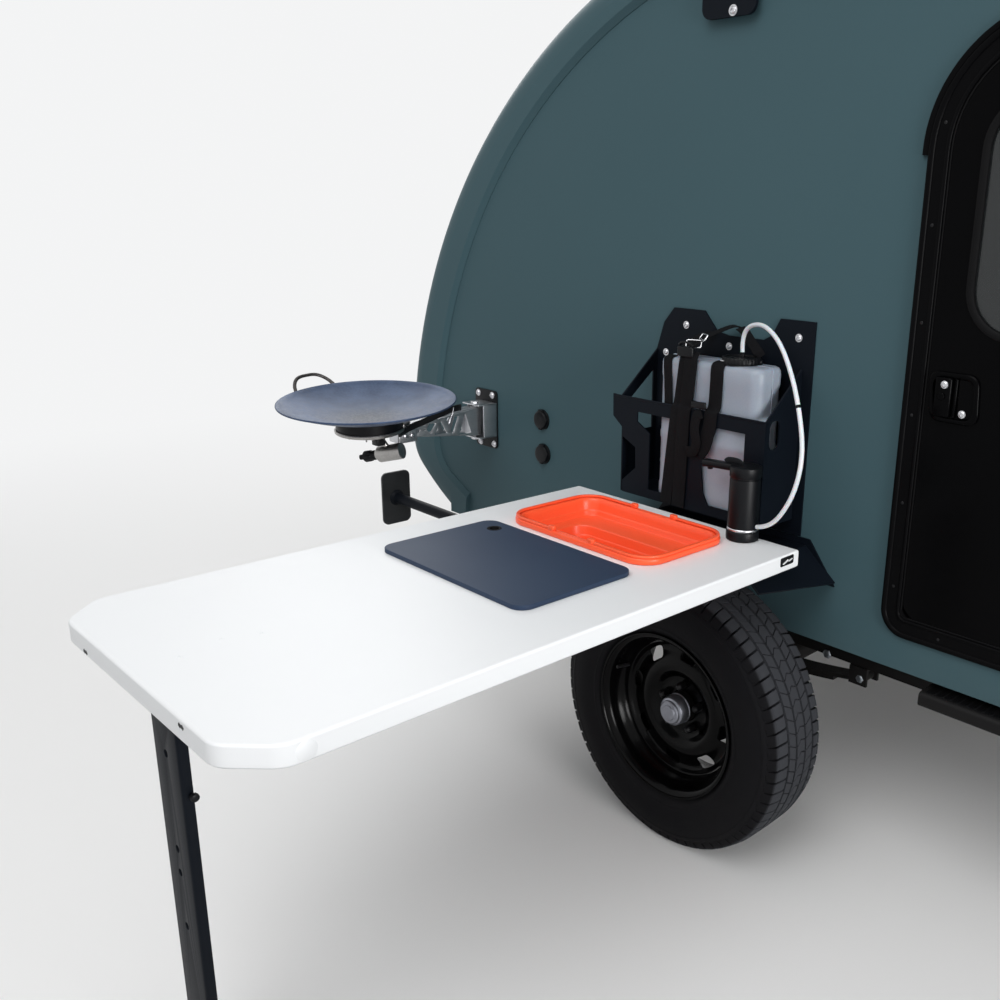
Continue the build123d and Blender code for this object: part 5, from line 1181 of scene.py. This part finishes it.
# doorLoop: the door's outline drawn in by a distance, two big arcs at the top and two small ones below
def doorLoop(v, by, steps=14):
    (x0, x1), (z0, z1), (topLeft, topRight), low = v["x"], v["z"], v["tops"], v["low"]
    small, keep = max(low - by, 4), max(by - low + 4, 0)
    arcs = (((x1 - topRight, z1 - topRight), topRight - by, 0), ((x0 + topLeft, z1 - topLeft), topLeft - by, 90),
            ((x0 + low + keep, z0 + low + keep), small, 180), ((x1 - low - keep, z0 + low + keep), small, 270))
    turns = [np.radians(start + np.linspace(0, 90, steps)) for _, _, start in arcs]
    return np.vstack([np.c_[x + radius * np.cos(t), z + radius * np.sin(t)]
                      for ((x, z), radius, _), t in zip(arcs, turns)])


# band: rows of one outline make a raised band, closed on itself
def band(outline, rows):
    loops = [outline(by) for by, _ in rows]
    points = np.array([np.c_[loop[:, 0], np.full(len(loop), face - out), loop[:, 1]]
                       for loop, (_, out) in zip(loops, rows)])
    return points.reshape(-1, 3), gridFaces(len(rows), points.shape[1], True)


# a band round the door, its rows found by their key
def doorBand(key):
    return band(lambda by: doorLoop(doorValues, by), doorValues[key])


putBoth("doorTrim", [doorBand("outerBand"), doorBand("innerBand")], "frameBlack", "frame_black", sharp=50)
putBoth("doorSeal", [doorBand("seal")], "sealRubber", "frame_black", sharp=60)


# small screws at even distances along the frame's middle line
def frameScrews(v):
    line = doorLoop(v, 24, 24)
    ring = np.vstack([line, line[:1]])
    run = np.r_[0, np.cumsum(np.linalg.norm(np.diff(ring, axis=0), axis=1))]
    count = int(run[-1] / v["pitch"])
    marks = (np.arange(count) + 0.35) * run[-1] / count
    return [screw((x, face, z), (0, -1, 0), 3.4, 0.35)
            for x, z in zip(*(np.interp(marks, run, ring[:, axis]) for axis in (0, 1)))]


putBoth("frameScrews", frameScrews(doorValues), "boltBlack", "frame_black")
# drip moulding: a slim lip over the door's top, ending at the sides
topLine = doorLoop(doorValues, -5.5, 30)[:60]
dripLine = np.vstack([topLine[:1] - (0, 10), topLine, topLine[-1:] - (0, 8)])
putBoth("doorDrip", [sweep(inPlane(*dripLine.T, np.full(62, -764.0), "XZ"), flatSection(13.5, 10, 2.8),
                           (0, -1, 0))], "frameBlack", "frame_black", sharp=50)
windowX, windowZ = doorValues["window"]
windowBand = band(lambda by: inset(windowX, windowZ, 90, by, 12), doorValues["windowBand"])
putBoth("windowEdge", [windowBand], "sealRubber", "frame_black", body="door", sharp=50)
latchValues = dict(corners=((490, 1122.5), (593, 1122.5), (586, 1223.5), (478.5, 1223.5)),
                   bezel=((0, -3), (0, 4.5), (1.2, 6.2), (3, 7), (7, 7.2), (9, 6.2), (10.5, -1)),
                   paddle=((545, 1212), (578, 1211), (583, 1135), (548, 1134)),
                   lock=((0, 0), (7.2, 0), (7.8, 0.8), (7.8, 3.5), (6.6, 4.6), (2.2, 4.6), (2, 4), (0, 4)),
                   screws=((519, -778, 1199), (559, -771, 1144)))


# the bezel's loops are the four corners drawn towards their middle; plates and a turned lock lie in it
def makeLatch(v):
    middle = np.mean(v["corners"], 0)
    loops = [softCorners(middle + (np.array(v["corners"]) - middle) * (1 - by / 52), 26, 9)
             for by, _ in v["bezel"]]
    return [loft(loops, [face - out for _, out in v["bezel"]], False, "XZ"),
            softBox((496, 533), (-778, face + 2), (1133, 1213), 4),
            softBox((538, 544), (-774, face + 2), (1133, 1213), 2.4),
            flatPlate([softCorners(v["paddle"], 6)], 6, "XZ", face - 1, 1.6),
            spin(v["lock"], (514.5, -777.6, 1175), (0, -1, 0), 28)]


putBoth("doorLatch", makeLatch(latchValues), "doorGloss", "latch_black", ("door_latch",), "door", sharp=35)
putBoth("latchScrews", [screw(spot, (0, -1, 0), 6.2, 0.45, 1.25) for spot in latchValues["screws"]],
        "boltBright", "latch_black", body="door")
print("doors are made")

# Small parts on the right wall: caps of the two sockets, hinged at their tops
socketValues = dict(places=((-718, 931), (-713, 830)), cap=(
    (30, 0), (30, 3), (29, 4.4), (26.8, 4.6), (26.2, 7), (26.2, 10.5), (24.6, 12.8), (22, 13.6), (10, 13.8),
    (0, 13.8), (0, 0)))
socketParts = []
for x, z in socketValues["places"]:
    socketParts += [spin(socketValues["cap"], (x, -760, z), (0, -1, 0), 48),
                    softBox((x - 10, x + 10), (-772, -760.5), (z + 25, z + 29.5), 1.5),
                    softBox((x - 7, x + 7), (-773.5, -766), (z - 29, z - 23.5), 1.5)]
putPiece("socketCaps", socketParts, "mouldedBlackAndSlotShade", "latch_black", ("power_sockets",), sharp=40)
rackBolts = [screw((x, y, 1937), (0, y, 0), 8, 0.6, 1.45) for y in (-783, 783) for x in (-62, 1010)]
putPiece("rackBolts", rackBolts, "boltBright", "black_steel")
barEnds = []
for x in (-76, 1010):
    barEnds += [softBox((x - 30, x + 30), (y - 4, y + 4), (2219.5, 2252.5), 3) for y in (-808, 808)]
    barEnds.append(softBox((x - 8, x + 8), (-780, 780), (2250, 2253), 1.2))
putPiece("rackCaps", barEnds, "sealRubber", "black_steel")

# Rear stabilisers: a dark tube with a pressed foot whose rim curls over, on its pin
stabiliserValues = dict(
    y=-699, z=492, x=(-1604, -1160), foot=((-757, -641), (394, 590)),
    rows=((10, 9.2), (0.5, 9.4), (0, 8), (0.6, 0.4), (3, -0.6), (5.8, 1), (7.5, 6), (12, 7.2)),
    rib=((30, 0), (28, 4), (21.5, 8.5), (19.5, 15), (0, 15), (0, 0)), pins=((-734.5, -1), (-664, 1)))


# tube and rib are profiles turned about the leg; the foot is a rounded loop drawn in by its rows
def makeStabiliser(v):
    (x0, x1), y, z = v["x"], v["y"], v["z"]
    tube = [(15, 0), (19, 0), (19, x1 - x0 - 4), (15, x1 - x0), (15, 0)]
    foot = raised(*v["foot"], 22, [(by, x0 - 11 + level) for by, level in v["rows"]], plane="YZ")
    return [spin(tube, (x0, y, z), (1, 0, 0), 32), spin(v["rib"], (x0 - 4, y, z), (1, 0, 0), 36)], [foot]


stabiliserTube, stabiliserFoot = makeStabiliser(stabiliserValues)
putBoth("stabiliserLeg", stabiliserTube, "powderBlack", "black_steel", ("stabiliser_leg",), "stabiliser",
        sharp=40)
putBoth("stabiliserFoot", stabiliserFoot, "footSteel", "black_steel", body="stabiliser", sharp=40)
putBoth("stabiliserPins", [nut((stabiliserValues["x"][1], y, stabiliserValues["z"]), (0, way, 0), 11, 8)
                           for y, way in stabiliserValues["pins"]], "zincSteel", "zinc_steel")

# Chassis: bolts at the spring hangers, and rubber treads on the steps
bolts, treads = [], []
for side in (-1, 1):
    bolts.append(nut((238, side * 660, 483), (0, side, 0), 12, 9))
    bolts += [nut((x, side * 665, 452), (0, side, 0), 10.5, 8) for x in (-336, 336)]
    treads.append(softBox((556, 1224), (side * 752 - 26, side * 752 + 26), (535.5, 538.5), 1))
    treads += [softBox((x - 4, x + 4), (side * 752 - 24, side * 752 + 24), (537, 540), 1.2)
               for x in np.linspace(575, 1205, 36)]
putPiece("hangerBolts", bolts, "zincSteel", "zinc_steel")
putPiece("stepTreads", treads, "sealRubber", "black_steel", sharp=50)


# Rear: lamps, number plate, handle and hatch seal sit on the rear curve, drawn as (across, up, outward)
rearValues = dict(centre=(96, 667), radius=1519, lampZ=1010, lampY=690, plateZ=1000, handleZ=1130,
                  hatchHalf=622.5, hatchTurn=(112.0, 172.3),
                  bezel=((0, -3), (0, 9), (1.2, 10.8), (3, 11.2), (4.8, 10)),
                  plateFrame=((0, -1.5), (0, 4.6), (1, 5.8), (4, 6), (5.2, 3)),
                  plate=((0, 2.6), (0, 4.6), (0.6, 5.2), (2.6, 5.4), (3.6, 4.6), (5, 4.4)),
                  gripBase=((0, -1), (0, 3), (1.4, 4.4), (4, 4.8)),
                  bow=((-106, 0, 3), (-100, 0, 15), (-84, 0, 20.5), (-40, 0, 21.2), (40, 0, 21.2), (84, 0, 20.5),
                       (100, 0, 15), (106, 0, 3)))


# a part turned square to the rear circle at that level, and put on it
def onRear(v, part, level):
    rise = (level - v["centre"][1]) / v["radius"]
    flat = math.sqrt(1 - rise ** 2)
    return moved(part, ((0, rise, -flat), (1, 0, 0), (0, flat, rise)),
                 (v["centre"][0] - v["radius"] * flat, 0, level))


# pieces on the rear curve, at the level that the key names
def putRear(name, parts, level, finish, slotName, replaces=(), **more):
    putPiece(name, [onRear(rearValues, part, rearValues[level]) for part in parts], finish, slotName,
             replaces, **more)


lenses, bezels = [], []
for side in (-1, 1):
    y = (side * rearValues["lampY"] - 30, side * rearValues["lampY"] + 30)
    bezels.append(raised(y, (-65, 65), 12, rearValues["bezel"]))
    lenses += [softBox((y[0] + 5, y[1] - 5), (20 * k - 60, 20 * k - 40), (4, 25.5 - 1.2 * (k % 2)), 3.4)
               for k in range(6)]
putRear("lampLenses", lenses, "lampZ", "lampRed", "lamp_red", ("tail_lights",), sharp=35)
putRear("lampBezels", bezels, "lampZ", "mouldedBlackAndSlotShade", "latch_black", sharp=40)
putRear("plateFrame", [raised((-155, 155), (-80, 80), 10, rearValues["plateFrame"])], "plateZ", "mouldedBlackAndSlotShade",
        "latch_black", body="hatch", sharp=40)
putRear("plateBlank", [raised((-150, 150), (-75, 75), 8, rearValues["plate"])], "plateZ", "plateWhite",
        "plate_blank", ("number_plate",), body="hatch", sharp=40)
putRear("plateScrews", [screw((x, 60, 4.5), (0, 0, 1), 4.2, 0.35, 1.3) for x in (-125, 125)], "plateZ",
        "boltBright", "zinc_steel", body="hatch")
putRear("hatchHandle", [raised((-120, 120), (-20, 20), 12, rearValues["gripBase"]),
                        sweep(smoothPath(rearValues["bow"], 48), flatSection(24, 8.5, 3.8))], "handleZ",
        "mouldedBlackAndSlotShade", "frame_black", ("hatch_handle",), body="hatch", sharp=40)
putRear("handleScrews", [screw((x, 0, 4.6), (0, 0, 1), 4.2, 0.35) for x in (-113, 113)], "handleZ", "boltBright",
        "zinc_steel", body="hatch")


# the hatch's rubber: down one side, across and up the other, on the body beside the gap
def hatchSeal(v):
    (cx, cz), radius, half = v["centre"], v["radius"] + 1.2, v["hatchHalf"]
    t = np.linspace(*np.radians(v["hatchTurn"]), 60)
    side = np.c_[cx + radius * np.cos(t), np.full(60, half), cz + radius * np.sin(t)]
    low = np.c_[np.full(30, side[-1, 0]), np.linspace(half - 12, 12 - half, 30), np.full(30, side[-1, 2] - 4)]
    path = np.vstack([side[:-1], low, (side * (1, -1, 1))[::-1][1:]])
    return sweep(path, flatSection(8.5, 5, 2.2), (path - (cx, 0, cz)) * (1, 0, 1))


putPiece("hatchSeal", [hatchSeal(rearValues)], "sealRubber", "frame_black", sharp=60)
print("rear pieces are made")

# Roof vent: a lid with raised ribs and its knuckles; rows are (drawn in by, above its lowest level)
ventValues = dict(x=(150, 510), y=(-180, 180), z=(2235.5, 2266), corner=26, axis=(520, 2238), hinge=110,
                  ribs=(-114, -57, 0, 57, 114),
                  rows=((1.5, 0), (0, 1.2), (0, 14), (1.6, 19), (7, 23.5), (15, 25), (20, 25)))


# a rounded loop drawn in by its rows, ribs over it, and a turned knuckle with its arm at each hinge
def makeLid(v):
    (low, high), (x0, x1), (ax, az) = v["z"], v["x"], v["axis"]
    parts = [raised(v["x"], v["y"], v["corner"], [(by, low + level) for by, level in v["rows"]], 10)]
    parts += [softBox((x0 + 30, x1 - 30), (y - 16, y + 16), (low + 18, high), 5) for y in v["ribs"]]
    knuckle = [(3.4, -11), (5.8, -11), (5.8, 11), (3.4, 11), (3.4, -11)]
    for y in (-v["hinge"], v["hinge"]):
        parts += [spin(knuckle, (ax, y, az), (0, 1, 0), 24),
                  softBox((x1 - 10, ax - 4), (y - 10, y + 10), (low + 0.6, low + 8), 1)]
    return parts


putPiece("ventLid", makeLid(ventValues), "ventWhite", "vent_lid", ("roof_vent_lid",), "vent_lid", sharp=35)

# Mattress: a quilted pad with rounded sides and a welt round both edges
mattressValues = dict(x=(-520, 1280), y=(-690, 690), z=(596.5, 686.5), corner=60, side=40, tuft=(225, 230),
                      groove=6, spread=16, fade=70, counts=(150, 116), welt=3.5, weltLevels=(614.5, 668.5))


# top and underside over one grid: the height falls off at the sides by a superellipse of power 2.6, and
# grooves are bells about evenly spaced lines
def makeMattress(v):
    spans = np.array((v["x"], v["y"], v["z"]))
    half, middle = np.ptp(spans, 1) / 2, spans.mean(1)
    s, t = (np.linspace(-1, 1, count) for count in v["counts"])
    px, py = np.meshgrid(*(reach * (w + 0.8 * np.sin(np.pi * w) / np.pi) for reach, w in zip(half, (s, t))),
                         indexing="ij")
    r = v["corner"]
    cx, cy = np.clip(np.abs(px) - half[0] + r, 0, r), np.clip(np.abs(py) - half[1] + r, 0, r)
    both = (cx > 0) & (cy > 0)
    nx, ny = cx * np.sqrt(1 - cy ** 2 / (2 * r * r)), cy * np.sqrt(1 - cx ** 2 / (2 * r * r))
    x = np.where(both, np.sign(px) * (half[0] - r + nx), px)
    y = np.where(both, np.sign(py) * (half[1] - r + ny), py)
    qx, qy = np.abs(x) - half[0] + r, np.abs(y) - half[1] + r
    inner = r - np.hypot(np.maximum(qx, 0), np.maximum(qy, 0)) - np.minimum(np.maximum(qx, qy), 0)
    drop = 1 - np.clip(inner / v["side"], 0, 1)
    grooves = [np.exp(-(np.sin(np.pi * c / w) * w / np.pi / v["spread"]) ** 2)
               for c, w in zip((x, y), v["tuft"])]
    height = half[2] * np.maximum(1 - drop ** 2.6, 0) ** (1 / 2.6)
    height = height - v["groove"] * np.maximum(*grooves) * np.clip(inner / v["fade"], 0, 1)
    top, low = (np.stack([x, y, level], -1).reshape(-1, 3) for level in (height, -height))
    faces = gridFaces(*v["counts"], closeColumns=False)
    return (np.vstack([top, low]) + middle, np.vstack([faces, faces[:, ::-1] + len(top)])), np.vstack([top, top])


# the pad and its welts are both stuffed cloth, their UV in metres
def putCloth(name, parts, uv, replaces=()):
    putPiece(name, parts, "mattressCloth", "mattress_fabric", replaces, sharp=80, uv=uv[:, :2] * mm)


pad, padUv = makeMattress(mattressValues)
putCloth("bedMattress", [pad], padUv, ("mattress",))
weltLoop = roundedLoop((-518.5, 1278.5), (-688.5, 688.5), 58, 12)
welts = [sweep(np.c_[weltLoop, np.full(len(weltLoop), level)], circle(mattressValues["welt"], 8), closed=True)
         for level in mattressValues["weltLevels"]]
putCloth("bedWelts", welts, np.vstack([points for points, _ in welts]))
print("roof and inside are made")
